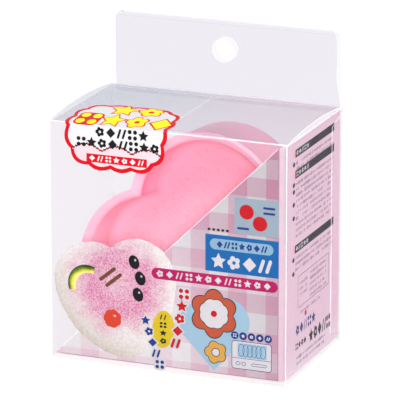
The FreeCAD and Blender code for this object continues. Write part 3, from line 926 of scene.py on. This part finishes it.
class RICEMOLD_OT_card(bpy.types.Operator):
    """Builds the insert card: the triangular front, the rounded fold and the side panel"""

    bl_idname = "rice_mold.card"
    bl_label = "Insert card"

    def execute(self, context):
        card = context.scene.insert_card
        paper = ink_material("plain_card_back", linear("#FFFFFF"))
        low, high = CARD_LOW, CARD_HIGH
        outline = [(CARD_LEFT, low.z), (FOLD_X, low.z), (FOLD_X, high.z)]
        slope = Vector((FOLD_X - CARD_LEFT, high.z - low.z)).normalized()
        normal, corner = Vector((slope.y, -slope.x)), Vector((CARD_LEFT, low.z))
        margin = card.white_margin / MM

        def zone(u, v):
            return 1 if (Vector((u, v)) - corner).dot(normal) < margin else 0

        cuts = [(tuple(corner + normal * margin), tuple(normal))]
        front = sheet_mesh([[outline]], on_front, COAT - CARD_SHEET, 0.0, cuts, zone=zone, reverse=1)
        gingham, side_pink = gingham_material(card), side_material(card)
        add_piece("card_front_panel", front, [gingham, paper], "box", "printed_card", "card_front")
        radius = card.fold_radius / MM
        bend = (math.pi / 2) * radius
        end = bend + SIDE_HIGH.y - (low.y + radius)

        def folded(u, v, w):
            inner = radius + w
            if u < bend:
                turn = u / radius
                return Vector((FOLD_X + inner * math.sin(turn), low.y + radius - inner * math.cos(turn), v))
            return Vector((FOLD_X + inner, low.y + radius + (u - bend), v))

        strip = [(0, low.z), (end, low.z), (end, high.z), (0, high.z)]
        bends = [((bend * i / 8, 0), (1, 0)) for i in range(1, 9)]
        side = sheet_mesh([[strip]], folded, -CARD_SHEET, 0.0, bends, reverse=1)
        add_piece("card_side_panel", side, [side_pink, paper], "box", "printed_card", "card_side")
        return {"FINISHED"}


class RICEMOLD_OT_rice_picture(bpy.types.Operator):
    """Builds the printed rice heart that stands out of the card, with its toppings"""

    bl_idname = "rice_mold.rice_picture"
    bl_label = "Rice picture"

    def execute(self, context):
        rice = context.scene.rice_picture
        inks = [rice_material(rice), bpy.data.materials["plain_card_back"]]
        picture = sheet_mesh([[rice_outline()]], on_front, 0.05 - CARD_SHEET, INK_STEP, reverse=1)
        add_piece("rice_heart_print", picture, inks, "box", "printed_card")
        # toppings laid loosely: a green slice up on the left, black ovals down the right, strips and a round
        slice_at, inner, outer = (-34.5, 32.0), 5.6, 8.2
        crescent = arc(slice_at, outer, 65, 200, 24)
        crescent += arc((slice_at[0] + 1.0, slice_at[1] - 0.9), 5.9, 195, 72, 24)
        mesh = sheet_mesh([[crescent]], on_front, INK_DEPTH, INK_STEP * 2)
        across = mesh.uv_layers.new(name="across")  # from the slice's rind to its flesh
        for loop in mesh.loops:
            point = mesh.vertices[loop.vertex_index].co / MM
            away = math.hypot(point.x - slice_at[0], point.z - slice_at[1])
            across.data[loop.index].uv = (0.0, (outer - away) / (outer - inner))
        green = green_slice_material(rice)
        add_piece("rice_green_slice_print", mesh, [green, green], "box", "printed_card")
        row = [(-14.2, 43.6), (-11.6, 37.2), (-12.6, 30.4)]
        glints = [oval(u + 0.5, v + 0.9, 0.45, 0.5) for u, v in row] + [oval(-22.6, 20.4, 0.6, 0.4)]
        strips = [dash(-25.6 + 2.6 * i, 37.4 - 2.2 * i, 9.0, 1.5, 40) for i in range(2)]
        print_inks(
            on_front,
            ("rice_olive_print", [oval(u, v, 2.2, 2.9, 20) for u, v in row], rice.olive, 2),
            ("rice_tomato_print", [flower(-23.6, 19.2, 3.9, 0.35, 7)], rice.tomato, 2),
            ("rice_toast_print", strips, rice.toast, 2),
            ("rice_glint_print", glints, linear("#B4B0B8"), 3),
        )
        return {"FINISHED"}


class RICEMOLD_OT_front_print(bpy.types.Operator):
    """Prints the plain panels, pills, flowers and marks on the front of the card"""

    bl_idname = "rice_mold.front_print"
    bl_label = "Front print"

    def execute(self, context):
        ink, painted_fold_shade = context.scene.inks, context.scene.insert_card.painted_fold_shade
        foot = CARD_LOW.z
        drop = arc((25.0, 24.0), 9.6, 100, -38, 20) + [(19.6, 2.9)] + arc((13.4, 21.5), 8.6, 218, 100, 20)
        large, small = (19.6, 26.4), (20.4, 10.6)  # centres of the two flowers
        flower_outlines = [flower(*large, 10.3, 2.2, 6), flower(*small, 4.9, 1.0, 5)]
        flower_rims = [flower(*large, 6.4, 0.5, 8), oval(*small, 1.8, 1.8)]
        flower_centres = [flower(*large, 6.1, 0.5, 8), oval(*small, 1.5, 1.5)]
        # the rack is a pictogram: plates upright in a rack, with five dots over it
        plates = [31.2 + 1.8 * i for i in range(6)]
        rack = [[oval(u, 12.8, 1.3, 2.6), oval(u, 12.8, 1.12, 2.42)] for u in plates]
        rack += [[dash(35.5, 9.5, 16.2, 0.2)]]
        rack += [[oval(u, 7.3, 0.95, 0.8), oval(u, 7.3, 0.75, 0.6)] for u in (29.8, 32.2)]
        rack += [[pill(35.4, 41.8, 6.7, 7.9), pill(35.6, 41.6, 6.9, 7.7)]]
        dots = [(28.4 + 3.5 * i, 18.7) for i in range(5)]
        # rows of plain marks: start, step, count, size, stroke, first kind
        red_row = (7.0, 33.0), (-0.9, -5.2), 5, (4.4, 4.2), 1.15, 1
        blue_row = (-9.4, 20.2), (1.5, -4.4), 5, (3.7, 3.5), 0.85, 3
        whites = mark_line((21.5, 48.2), (6.5, 0), 4, (5.6, 5.8), 1.4, 3)
        whites += mark_line((-3.2, 40.2), (4.1, 0), 12, (2.9, 2.9), 0.55)
        navies = [[dash(u, v, 5.0, 0.9)] for u, v in ((42.6, 71.8), (42.6, 69.7), (31.8, 62.6))]
        navies += mark_line((22.0, 55.1), (3.1, 0), 7, (2.5, 2.9), 0.65, 2)
        blacks = mark_line((-1.9, 22.4), (0, -3.3), 4, (2.9, 2.4), 0.5, 4)
        blacks += [[dash(17.6 + 1.9 * i, 60.9, 1.3, 1.0)] for i in range(5)]
        print_inks(
            on_front,
            # painted shade: a dark line where the card turns into the fold, and a dark line along the card's
            # foot in the same colour
            ("card_fold_shade_line", [rounded(FOLD_X - 0.4, FOLD_X, foot, CARD_HIGH.z, 0.01)], painted_fold_shade, 0.5),
            ("card_foot_line", [rounded(-46.0, FOLD_X, foot, foot + 0.3, 0.01)], painted_fold_shade, 0.5),
            ("print_blue_panel", [rounded(16.0, FOLD_X, 43.9, 58.9)], ink.blue, 1),
            ("print_steel_plate", [rounded(28.2, FOLD_X, 60.4, 75.0)], ink.steel, 1),
            ("print_pale_blue_drop", [drop], ink.pale_blue, 1),
            ("print_magenta_pill", [pill(-6.8, 46.3, 37.9, 42.5)], ink.magenta, 2),
            ("print_yellow_oval", [oval(-1.9, 17.3, 4.7, 7.8, -6)], ink.yellow, 2),
            ("print_light_pill", [pill(17.9, 44.4, 52.9, 57.3)], ink.light_blue, 2),
            ("print_flower_outlines", flower_outlines, ink.black, 2),
            ("print_orange_flower", [flower(*large, 9.9, 2.2, 6)], ink.orange, 3),
            ("print_amber_flower", [flower(*small, 4.6, 1.0, 5)], ink.amber, 3),
            ("print_flower_rims", flower_rims, ink.black, 4),
            ("print_flower_centres", flower_centres, ink.white, 5),
            ("print_flower_dot", [oval(*large, 1.3, 1.3)], ink.red, 6),
            ("print_rack_outline", [rounded(27.1, 43.9, 5.0, 16.6, 1.2)], ink.navy, 1),
            ("print_rack_white", [rounded(27.35, 43.65, 5.25, 16.35, 1.0)], ink.white, 2),
            ("print_rack_window", [rounded(29.6, 41.8, 9.9, 15.7, 0.2)], ink.pale_blue, 3),
            ("print_rack_lines", rack, ink.navy, 4),
            ("print_rack_dots", [oval(u, v, 1.6, 1.6) for u, v in dots], ink.navy, 2),
            ("print_rack_dot_marks", mark_line(dots[0], (3.5, 0), 5, (1.5, 1.5), 0.4, 1), ink.white, 3),
            ("print_white_shapes", whites, ink.white, 3),
            ("print_mark_borders", mark_line(*red_row, 0.6) + mark_line(*blue_row, 0.6), ink.white, 7),
            ("print_red_marks", mark_line(*red_row), ink.red, 8),
            ("print_red_rounds", [oval(33.2, 69.4, 3.0, 3.0), oval(38.8, 65.2, 3.0, 3.0)], ink.red, 2),
            ("print_blue_marks", mark_line(*blue_row), ink.navy, 8),
            ("print_navy_marks", navies, ink.navy, 4),
            ("print_black_marks", blacks, ink.black, 4),
        )
        return {"FINISHED"}


def dash_lines_tree():
    """Rows of short ink dashes of uneven length, in the X-Z plane, from a corner to the right and down."""
    tree, add, given = node_tree(
        "dash_lines", Columns="Int", Rows="Int", Column_Pitch="Float", Row_Pitch="Float", Dash="Vector",
        Corner="Vector", Seed="Int", Ink="Material",
    )
    count = add("Math MULTIPLY", (given["Columns"], given["Rows"]))
    line = add("GeometryNodeMeshLine", {"Count": count, "Offset": (0, 0, 0)})
    index = add("GeometryNodeInputIndex")
    column = add("Math FLOORED_MODULO", (index, given["Columns"]))
    row = add("Math FLOOR", (add("Math DIVIDE", (index, given["Columns"])),))
    across = add("Math MULTIPLY", (column, given["Column_Pitch"]))
    drop = add("Math MULTIPLY", (add("Math MULTIPLY", (row, given["Row_Pitch"])), -1))
    spot = add("VectorMath ADD", (add("CombineXYZ", {"X": across, "Z": drop}), given["Corner"]))
    points = add("GeometryNodeSetPosition", {"Geometry": line, "Position": spot})
    block = add("GeometryNodeMeshCube", {"Size": given["Dash"]})
    lengths = {0: (0.35, 1, 0.5), 1: (1.2, 1, 1.15), "Seed": given["Seed"]}
    stretch = add("FunctionNodeRandomValue", lengths, data_type="FLOAT_VECTOR")
    chance = {"Probability": 0.86, "Seed": add("Math ADD", (given["Seed"], 7))}
    kept = add("FunctionNodeRandomValue", chance, 3, data_type="BOOLEAN")
    placed = {"Points": points, "Selection": kept, "Instance": block, "Scale": stretch}
    real = add("GeometryNodeRealizeInstances", (add("GeometryNodeInstanceOnPoints", placed),))
    inked = add("GeometryNodeSetMaterial", {"Geometry": real, "Material": given["Ink"]})
    add("NodeGroupOutput", (inked,), None)
    return tree


class RICEMOLD_OT_side_print(bpy.types.Operator):
    """Prints heading bars, rows of small dashes and a ruled box on the side panel"""

    bl_idname = "rice_mold.side_print"
    bl_label = "Side print"

    def execute(self, context):
        ink = context.scene.inks
        bars = [(90.0, 93.2), (81.5, 84.8), (51.2, 54.4)]
        headings = []
        for number, (low, high) in enumerate(bars):
            headings += mark_line((-18.4, (low + high) / 2), (2.9, 0), 5, (2.3, 2.1), 0.55, number)
        bullets = [oval(-22.1, z, 1.25, 0.95) for z in (87.6, 79.3, 76.6, 71.4, 65.9, 48.9, 43.2)]
        names = mark_line((-17.8, 12.3), (3.1, 0), 4, (2.6, 2.8), 0.55, 1)
        names += mark_line((-1.6, 12.0), (4.9, 0), 5, (4.3, 5.6), 0.85, 3)
        ruled = [[rounded(-16.8, 18.0, 27.7, 40.8), rounded(-16.6, 17.8, 27.9, 40.6)]]
        print_inks(
            on_side,
            ("side_heading_bars", [rounded(-20.6, 23.0, *bar) for bar in bars], ink.bar, 1),
            ("side_heading_caps", [rounded(-22.9, -20.8, *bar, 1.0) for bar in bars], ink.blush, 1),
            ("side_bullets", bullets, ink.black, 1),
            ("side_heading_marks", headings, ink.white, 2),
            ("side_navy_marks", mark_line((-17.0, 18.8), (4.5, 0), 5, (3.7, 4.4), 0.6), ink.navy, 1),
            ("side_red_dot", [oval(-8.0, 23.4, 1.1, 1.1)], ink.red, 1),
            ("side_black_marks", names, ink.black, 1),
            ("side_ruled_box", ruled, ink.bar, 1),
        )
        blocks = [  # columns, rows, corner (y, z)
            (38, 2, -19.3, 87.6), (38, 10, -19.3, 79.2), (38, 3, -19.3, 49.0), (8, 3, -14.6, 37.4),
            (17, 5, -3.0, 38.6), (20, 1, -13.0, 25.2), (30, 2, -18.0, 7.4),
        ]
        # the rows are laid along X; they lie along Y on the side panel
        to_side = Matrix(((0, -1, 0, (SIDE_HIGH.x - 0.012) * MM), (1, 0, 0, 0), (0, 0, 1, 0), (0, 0, 0, 1)))
        material, tree = ink_material("side_small_dashes", ink.grey), dash_lines_tree()
        for seed, (columns, rows, y, z) in enumerate(blocks, 1):
            mesh = bpy.data.meshes.new("dashes")
            piece = add_piece(f"side_dashes_{seed}", mesh, [], "box", "printed_card")
            apply_nodes(
                piece, tree, Columns=columns, Rows=rows, Column_Pitch=1.1 * MM, Row_Pitch=2.35 * MM,
                Dash=(0.62 * MM, 0.05 * MM, 1.25 * MM), Corner=(y * MM, 0.0, z * MM), Seed=seed, Ink=material,
            )
            piece.data.transform(to_side)
        return {"FINISHED"}


# --- the seal -----------------------------------------------------------------------


def seal_outline(seal, inset=0.0):
    """The scalloped cloud as (x, height past the front top edge)."""
    below, behind, half_w = seal.below / MM, seal.behind / MM, seal.half_width / MM
    middle, half = (behind - below) / 2, (behind + below) / 2
    steps = 12 * seal.bumps
    points = []
    for turn in (2 * math.pi * i / steps for i in range(steps)):
        c, s = math.cos(turn), math.sin(turn)
        reach = (abs(c) ** seal.squareness + abs(s) ** seal.squareness) ** (-1 / seal.squareness)
        bump = seal.bump_height / MM * (1 - abs(math.sin(seal.bumps * turn / 2)))
        point = Vector(((half_w - bump) * reach * c, (half - bump) * reach * s))
        point -= point.normalized() * inset
        points.append((seal.centre_x / MM + point.x, middle + point.y))
    return points


def seal_shapes(grow):
    """Large plain marks in two rows, the lower one across the crease."""
    upper = mark_line((-25.4, 18.4), (11.0, 0.9), 2, (9.6, 9.6), 2.9, 3, grow)
    return upper + mark_line((-35.4, 6.0), (10.0, 0.5), 4, (8.4, 11.0), 2.7, 1, grow)


class RICEMOLD_OT_seal(bpy.types.Operator):
    """Builds the scalloped seal sticker over the front top edge, in two parts that meet at the crease"""

    bl_idname = "rice_mold.seal"
    bl_label = "Seal sticker"

    def execute(self, context):
        seal, rise = context.scene.seal, context.scene.clear_box.lid_rise / MM
        edge_y, edge_z = FRONT_LOW.y, FRONT_HIGH.z
        thick = edge_y - span("seal_front")[0].y
        seam = 0.5  # the sheet's thickness and the play at the lid's front edge

        def on_seal(u, v, w):
            if v < seam:
                return Vector((u, edge_y - w, min(edge_z + v, edge_z)))
            return Vector((u, edge_y + v, lid_height(edge_y + v, rise) + w))

        rows = [((0, v), (0, 1)) for v in (seam, *(1.5 + 2.0 * i for i in range(15)))]
        border, plate = seal.border / MM, rounded(-34.0, -8.3, -15.1, -11.7, 0.05)
        # a line over three low hills, and the hills under it down to the border
        hills = [(-40.4 + 0.6 * i, 2.5 * abs(math.sin(0.6 * i * math.pi / 12.9))) for i in range(64)]
        hills = [(x, -10.6 + v + 0.5 * (i % 2)) for i, (x, v) in enumerate(hills)]
        foot = [p for p in seal_outline(seal, border) if p[1] < -10.0]
        foot.sort(key=lambda p: math.atan2(p[1] + 10.0, p[0] - seal.centre_x / MM), reverse=True)
        half = 0.75 / 2
        zigzag = [(x, v + half) for x, v in hills] + [(x, v - half) for x, v in reversed(hills)]
        marks = mark_line((-28.2, -2.5), (4.6, 0), 5, (3.9, 4.1), 0.9, 0)
        marks += mark_line((-36.2, -7.1), (4.45, 0), 8, (3.9, 3.9), 0.9, 1)
        plate_marks = mark_line((-31.6, -13.4), (3.45, 0), 7, (2.5, 2.3), 0.55, 2)
        layers = [  # name, shapes, colour, top as a share of the seal's thickness
            ("border", [[seal_outline(seal)]], seal.red, 0.55),
            ("field", [[seal_outline(seal, border)]], seal.field, 0.64),
            ("hills", [[hills + foot]], seal.hills, 0.72),
            ("zigzag", [[zigzag]], seal.zigzag, 0.8),
            ("shape_borders", seal_shapes(0.8), seal.red, 0.8),
            ("shapes", seal_shapes(0.0), seal.shapes, 0.9),
            ("plate", [[plate]], seal.red, 0.8),
            ("plate_marks", plate_marks, seal.field, 0.9),
            ("marks", marks, context.scene.inks.black, 0.9),
        ]
        parts = [  # name, body, node, and which side of the seam it keeps
            ("front", "box", "seal_front", lambda u, v: v < seam),
            ("top", "top_panel", "seal_top", lambda u, v: v > seam),
        ]
        backing = ink_material("seal_backing", linear("#FFFFFF"))
        for name, shapes, value, share in layers:
            material = ink_material("seal_" + name, value, 0.06)
            base, stands_in = (0.01, True) if name == "border" else (0.3 * thick, False)
            for part, body, node, keep in parts:
                mesh = sheet_mesh(shapes, on_seal, base, thick * share, rows, keep, reverse=2)
                if mesh.polygons:
                    nodes = (node,) if stands_in else ()
                    layer = [material, material, backing]
                    add_piece(f"seal_{part}_{name}", mesh, layer, body, "seal_label", *nodes)
                else:
                    bpy.data.meshes.remove(mesh)
        return {"FINISHED"}


# --- the mold -----------------------------------------------------------------------

FILLET_STEPS = 9
THROAT_RING = FILLET_STEPS  # the ring where a cup's inner wall starts, after its floor's fillet
EMBOSS_REACH = 96 * MM  # width of the emboss grid, past the heart all round
EMBOSS_DROP = 20 * MM  # how far in front of a floor its grid starts


def heart_ring(mold, grow, lobe_steps=44, flank_steps=8, tip_steps=12):
    """The heart offset outwards by grow, as (x, z) in metres: right lobe, flank, tip, flank, left lobe."""
    across = Vector((math.cos(mold.tilt), math.sin(mold.tilt)))
    down = Vector((across.y, -across.x))
    middle = Vector((mold.centre_x, mold.centre_z))
    lobe_r, tip_r = mold.lobe_radius + grow, max(mold.tip_radius + grow, 0.4 * MM)
    reach = math.hypot(mold.half_span, mold.tip_distance)
    facing = math.acos((lobe_r - tip_r) / reach) - math.atan2(mold.tip_distance, -mold.half_span)
    start, bottom = math.acos(-mold.half_span / lobe_r), -math.pi / 2
    tip = middle + down * mold.tip_distance

    def half(side):
        def bow(centre, radius, first, last, steps):
            turns = [first + (last - first) * i / steps for i in range(steps + 1)]
            return [centre + (across * side * math.cos(t) - down * math.sin(t)) * radius for t in turns]

        lobe = bow(middle + across * (side * mold.half_span), lobe_r, start, facing, lobe_steps)
        nose = bow(tip, tip_r, facing, bottom, tip_steps)
        return lobe + [lobe[-1].lerp(nose[0], i / flank_steps) for i in range(1, flank_steps)] + nose

    return half(1) + half(-1)[-2:0:-1]


def lofted_shell(mold, profile, inner):
    """A closed shell through rings given as (y, grow). Faces that start at rings in inner take material 1."""
    shell = bmesh.new()
    rings = [[shell.verts.new((p.x, y, p.y)) for p in heart_ring(mold, grow)] for y, grow in profile]
    for number, (a, b) in enumerate(zip(rings, rings[1:])):
        for i in range(len(a)):
            j = (i + 1) % len(a)
            shell.faces.new((a[i], a[j], b[j], b[i])).material_index = int(number in inner)
    for ring in (rings[0], rings[-1]):
        for triangle in tessellate_polygon([[v.co for v in ring]]):
            face = shell.faces.new([ring[i] for i in triangle])
            face.material_index = int(ring is rings[0] and 0 in inner)
    bmesh.ops.recalc_face_normals(shell, faces=shell.faces[:])
    for face in shell.faces:
        face.smooth = True
    return new_mesh("shell", shell)


def fillet_rows(mold, grow, end_y, radius, draft_from):
    """Rings of a drafted wall's foot and its rounded edge at the floor."""
    start = end_y - radius
    at_start = grow - mold.draft * (start - draft_from)
    turns = [math.pi / 2 * i / FILLET_STEPS for i in range(FILLET_STEPS + 1)]
    return [(start + radius * math.sin(t), at_start - radius * (1 - math.cos(t))) for t in turns]


def rounded_rim(mold, front, outer):
    """Rings over the lip's front edge, from its inside to its outside."""
    flat_start, edge, turn = outer - mold.lip_flat, front + mold.lip_edge, 0.3 * MM
    return [
        (front + 0.12 * MM, flat_start - 0.18 * MM),
        (front, flat_start),
        (front, outer - turn * 0.8),
        (front + 0.1 * MM, outer - 0.08 * MM),
        (front + turn, outer),
        (edge - 0.2 * MM, outer),
        (edge, outer - 0.08 * MM),
    ]


def emboss_tree():
    """Low domes in staggered rows wherever a ray from the front meets the floor."""
    tree, add, given = node_tree(
        "floor_emboss", Width="Float", Count="Int", Pitch="Float", Centre="Vector", Dome="Vector",
        Plastic="Material",
    )
    sizes = {"Size X": given["Width"], "Size Y": given["Width"]}
    grid = add("GeometryNodeMeshGrid", {**sizes, "Vertices X": given["Count"], "Vertices Y": given["Count"]})
    half = add("Math MULTIPLY", (given["Pitch"], 0.5))
    shifted = add("VectorMath ADD", (add("CombineXYZ", {"X": half, "Z": half}), given["Centre"]))
    both = add("GeometryNodeJoinGeometry")
    for centre in (given["Centre"], shifted):
        upright = {"Geometry": grid, "Translation": centre, "Rotation": (math.pi / 2, 0, 0)}
        tree.links.new(add("GeometryNodeTransform", upright), both.node.inputs[0])
    ray = {"Target Geometry": given["Geometry"], "Ray Direction": (0, 1, 0), "Ray Length": 1.0}
    hit = add("GeometryNodeRaycast", ray, None)
    landed = add("GeometryNodeSetPosition", {"Geometry": both, "Position": hit["Hit Position"]})
    dome = add("GeometryNodeMeshUVSphere", {"Segments": 8, "Rings": 6, "Radius": 1.0})
    placed = {"Points": landed, "Selection": hit["Is Hit"], "Instance": dome, "Scale": given["Dome"]}
    real = add("GeometryNodeRealizeInstances", (add("GeometryNodeInstanceOnPoints", placed),))
    smooth = add("GeometryNodeSetShadeSmooth", (real,))
    done = add("GeometryNodeSetMaterial", {"Geometry": smooth, "Material": given["Plastic"]})
    add("NodeGroupOutput", (done,), None)
    return tree


class RICEMOLD_OT_mold(bpy.types.Operator):
    """Builds the deep cup and the press lid that nests in it, with their embossed floors"""

    bl_idname = "rice_mold.mold"
    bl_label = "Mold and press lid"

    def execute(self, context):
        mold = context.scene.mold
        # the throat material carries painted shade, and the inside material painted light, paler where light
        # gathers in the body
        plastic = mold_material("pink_polypropylene", mold, mold.pink, 0.0)
        throat_plastic = mold_material("pink_polypropylene_throat", mold, mold.pink, 1.0)
        inside_plastic = mold_material("pink_polypropylene_inside", mold, mold.inside_pink, 0.0)
        inside = mold.wall + mold.play
        body_mouth = mold.mouth_y + mold.body_lip_behind
        bend_y, bend_grow = mold.mouth_y - 0.5 * mold.lip_rise, 0.42 * mold.lip_out
        flare, shoulder = [(bend_y, bend_grow)], [(mold.mouth_y + 0.4 * MM, mold.wall + 1.0 * MM)]
        press_sizes = mold.mouth_y, mold.press_floor_y, mold.press_fillet, 0.0
        body_sizes = body_mouth, mold.body_floor_y, mold.body_fillet, inside
        press = self.cup(mold, *press_sizes, 1.0 * MM, flare, shoulder)
        body = self.cup(mold, *body_sizes, 0.6 * MM)
        shell = lofted_shell(mold, press, (THROAT_RING,))
        add_piece("press_lid_shell", shell, [plastic, throat_plastic], "press", "mold_plastic", "press_lid")
        shell = lofted_shell(mold, body, range(THROAT_RING + 1))
        add_piece("mold_body_shell", shell, [plastic, inside_plastic], "box", "mold_plastic", "mold_body")
        tree = emboss_tree()
        self.emboss(mold, tree, plastic, "press_lid_emboss", "press", *press_sizes)
        self.emboss(mold, tree, inside_plastic, "mold_body_emboss", "box", *body_sizes)
        return {"FINISHED"}

    def cup(self, mold, mouth, floor, fillet, grow, behind, flare=(), shoulder=()):
        """Rings of a cup: from its floor up the inside, over the lip and down the outside.

        behind is how far past the mouth the outer wall starts.
        """
        outer, wall = grow + mold.wall, mold.wall
        return [
            *reversed(fillet_rows(mold, grow, floor, fillet, mouth)),
            (mouth, grow),
            *flare,
            *rounded_rim(mold, mouth - mold.lip_rise, mold.lip_out),
            *shoulder,
            (mouth + behind, outer),
            *fillet_rows(mold, outer, floor + wall, fillet + wall, mouth + behind),
        ]

    def emboss(self, mold, tree, plastic, name, body, mouth, floor, fillet, grow):
        """Domes over one floor. The floor's outline goes in as a flat mesh and comes out as domes."""
        ring = heart_ring(mold, grow - fillet - mold.draft * (floor - mouth) - mold.dome_radius)
        mesh = bpy.data.meshes.new(name)
        faces = tessellate_polygon([[Vector((p.x, p.y, 0)) for p in ring]])
        mesh.from_pydata([(p.x, floor, p.y) for p in ring], [], [list(f) for f in faces])
        piece = add_piece(name, mesh, [], body, "mold_plastic")
        pitch, radius = mold.dome_pitch, mold.dome_radius
        count = int(EMBOSS_REACH / pitch) + 1
        apply_nodes(
            piece, tree, Width=(count - 1) * pitch, Count=count, Pitch=pitch,
            Centre=(mold.centre_x, floor - EMBOSS_DROP, mold.centre_z),
            Dome=(radius, mold.dome_height, radius), Plastic=plastic,
        )


# --- the stage ----------------------------------------------------------------------


class RICEMOLD_OT_stage(bpy.types.Operator):
    """Sets the pale floor, the soft light and the camera"""

    bl_idname = "rice_mold.stage"
    bl_label = "Stage, lights and camera"

    def execute(self, context):
        scene, stage = context.scene, context.scene.stage
        self.floor(scene)
        self.world(scene, stage.world_level)
        for name, power, place, size in (
            ("key_light", stage.key_power, (0.56, -1.39, 0.50), 0.3),
            ("side_fill", stage.fill_power, (1.1, -0.8, 0.4), 0.9),
            ("top_light", stage.top_power, (0.25, -0.1, 1.6), 0.9),
            ("back_light", stage.back_power, (-1.3, 1.0, 1.3), 0.9),
        ):
            light = bpy.data.lights.new(name, "AREA")
            light.energy, light.size = power, size
            at_box = Vector((0, 0, 0.06)) - Vector(place)
            self.put(scene, name, light, place, at_box.to_track_quat("-Z", "Y"))
        yaw, pitch = stage.yaw, stage.pitch
        back = Vector((math.sin(yaw) * math.cos(pitch), -math.cos(yaw) * math.cos(pitch), math.sin(pitch)))
        turn = (-back).to_track_quat("-Z", "Y") @ Quaternion((0, 0, 1), stage.roll)
        aim = Vector((0, 0, stage.aim_height)) + turn @ Vector((stage.aim_right, stage.aim_up, 0))
        camera = bpy.data.cameras.new("camera")
        camera.lens, camera.sensor_width = stage.lens, 36.0
        camera.clip_start, camera.clip_end = 0.05, 20.0
        scene.camera = self.put(scene, "camera", camera, aim + back * stage.distance, turn)
        scene.view_settings.view_transform = "Standard"
        scene.cycles.transparent_max_bounces = 40  # the clear sheets lie many deep
        scene.cycles.max_bounces = scene.cycles.diffuse_bounces = 24  # light lingers in the pale mold
        return {"FINISHED"}

    def put(self, scene, name, data, place, turn=(1, 0, 0, 0)):
        thing = bpy.data.objects.new(name, data)
        thing.rotation_mode = "QUATERNION"
        thing.rotation_quaternion = turn
        thing.location = place
        scene.collection.objects.link(thing)
        return thing

    def seen_directly(self, add):
        """1 for rays that the camera, a gloss or clear plastic sends, and 0 for rays that carry light."""
        path = add("LightPath", out=None)
        either = add("Math MAXIMUM", (path["Is Camera Ray"], path["Is Glossy Ray"]))
        return add("Math MAXIMUM", (either, path["Is Transmission Ray"]))

    def floor(self, scene):
        half, below = 6.0, -0.1 * MM
        corners = [(-half, -half, below), (half, -half, below), (half, half, below), (-half, half, below)]
        mesh = bpy.data.meshes.new("floor")
        mesh.from_pydata(corners, [], [(0, 1, 2, 3)])
        material, add = new_material("white_paper_floor")
        lit = add("BsdfDiffuse", {"Color": "#F2F2F2"})
        part_lit = add("BsdfDiffuse", {"Color": (0.12, 0.12, 0.12, 1)})
        glow = add("Emission", {"Color": (0.94, 0.94, 0.94, 1)})
        white = add("AddShader", (part_lit, glow))
        add("OutputMaterial", (add("MixShader", (self.seen_directly(add), lit, white)),), None)
        mesh.materials.append(material)
        self.put(scene, "floor", mesh, (0, 0, 0))

    def world(self, scene, level):
        world = bpy.data.worlds.new("even_white")
        world.use_nodes = True
        world.node_tree.nodes.clear()
        add = partial(add_node, world.node_tree)
        light, white = (add("Background", {"Color": "#FFFFFF", "Strength": s}) for s in (level, 1.0))
        add("OutputWorld", (add("MixShader", (self.seen_directly(add), light, white)),), None)
        scene.world = world


# --- panel, registration and run ----------------------------------------------------

STEPS = (
    RICEMOLD_OT_sleeve,
    RICEMOLD_OT_top_and_bottom,
    RICEMOLD_OT_hang_tab,
    RICEMOLD_OT_card,
    RICEMOLD_OT_rice_picture,
    RICEMOLD_OT_front_print,
    RICEMOLD_OT_side_print,
    RICEMOLD_OT_seal,
    RICEMOLD_OT_mold,
    RICEMOLD_OT_stage,
)
SETTINGS = {
    "clear_box": ClearBoxSettings,
    "insert_card": CardSettings,
    "inks": InkSettings,
    "rice_picture": RiceSettings,
    "seal": SealSettings,
    "mold": MoldSettings,
    "stage": StageSettings,
}


class RICEMOLD_PT_panel(bpy.types.Panel):
    """Lists the builders and their settings"""

    bl_label = "Rice mold press"
    bl_idname = "RICEMOLD_PT_panel"
    bl_space_type = "VIEW_3D"
    bl_region_type = "UI"
    bl_category = "Rice mold"

    def draw(self, context):
        for step in STEPS:
            self.layout.operator(step.bl_idname)
        for name, group in SETTINGS.items():
            column = self.layout.column(heading=name)
            for prop in group.__annotations__:
                column.prop(getattr(context.scene, name), prop)


def register():
    for cls in (*SETTINGS.values(), *STEPS, RICEMOLD_PT_panel):
        bpy.utils.register_class(cls)
    for name, group in SETTINGS.items():
        setattr(bpy.types.Scene, name, PointerProperty(type=group))


def unregister():
    for name in SETTINGS:
        delattr(bpy.types.Scene, name)
    for cls in reversed((*SETTINGS.values(), *STEPS, RICEMOLD_PT_panel)):
        bpy.utils.unregister_class(cls)


def main():
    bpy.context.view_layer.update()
    register()
    for step in STEPS:
        getattr(bpy.ops.rice_mold, step.bl_idname.split(".")[1])()


if __name__ == "__main__":
    main()
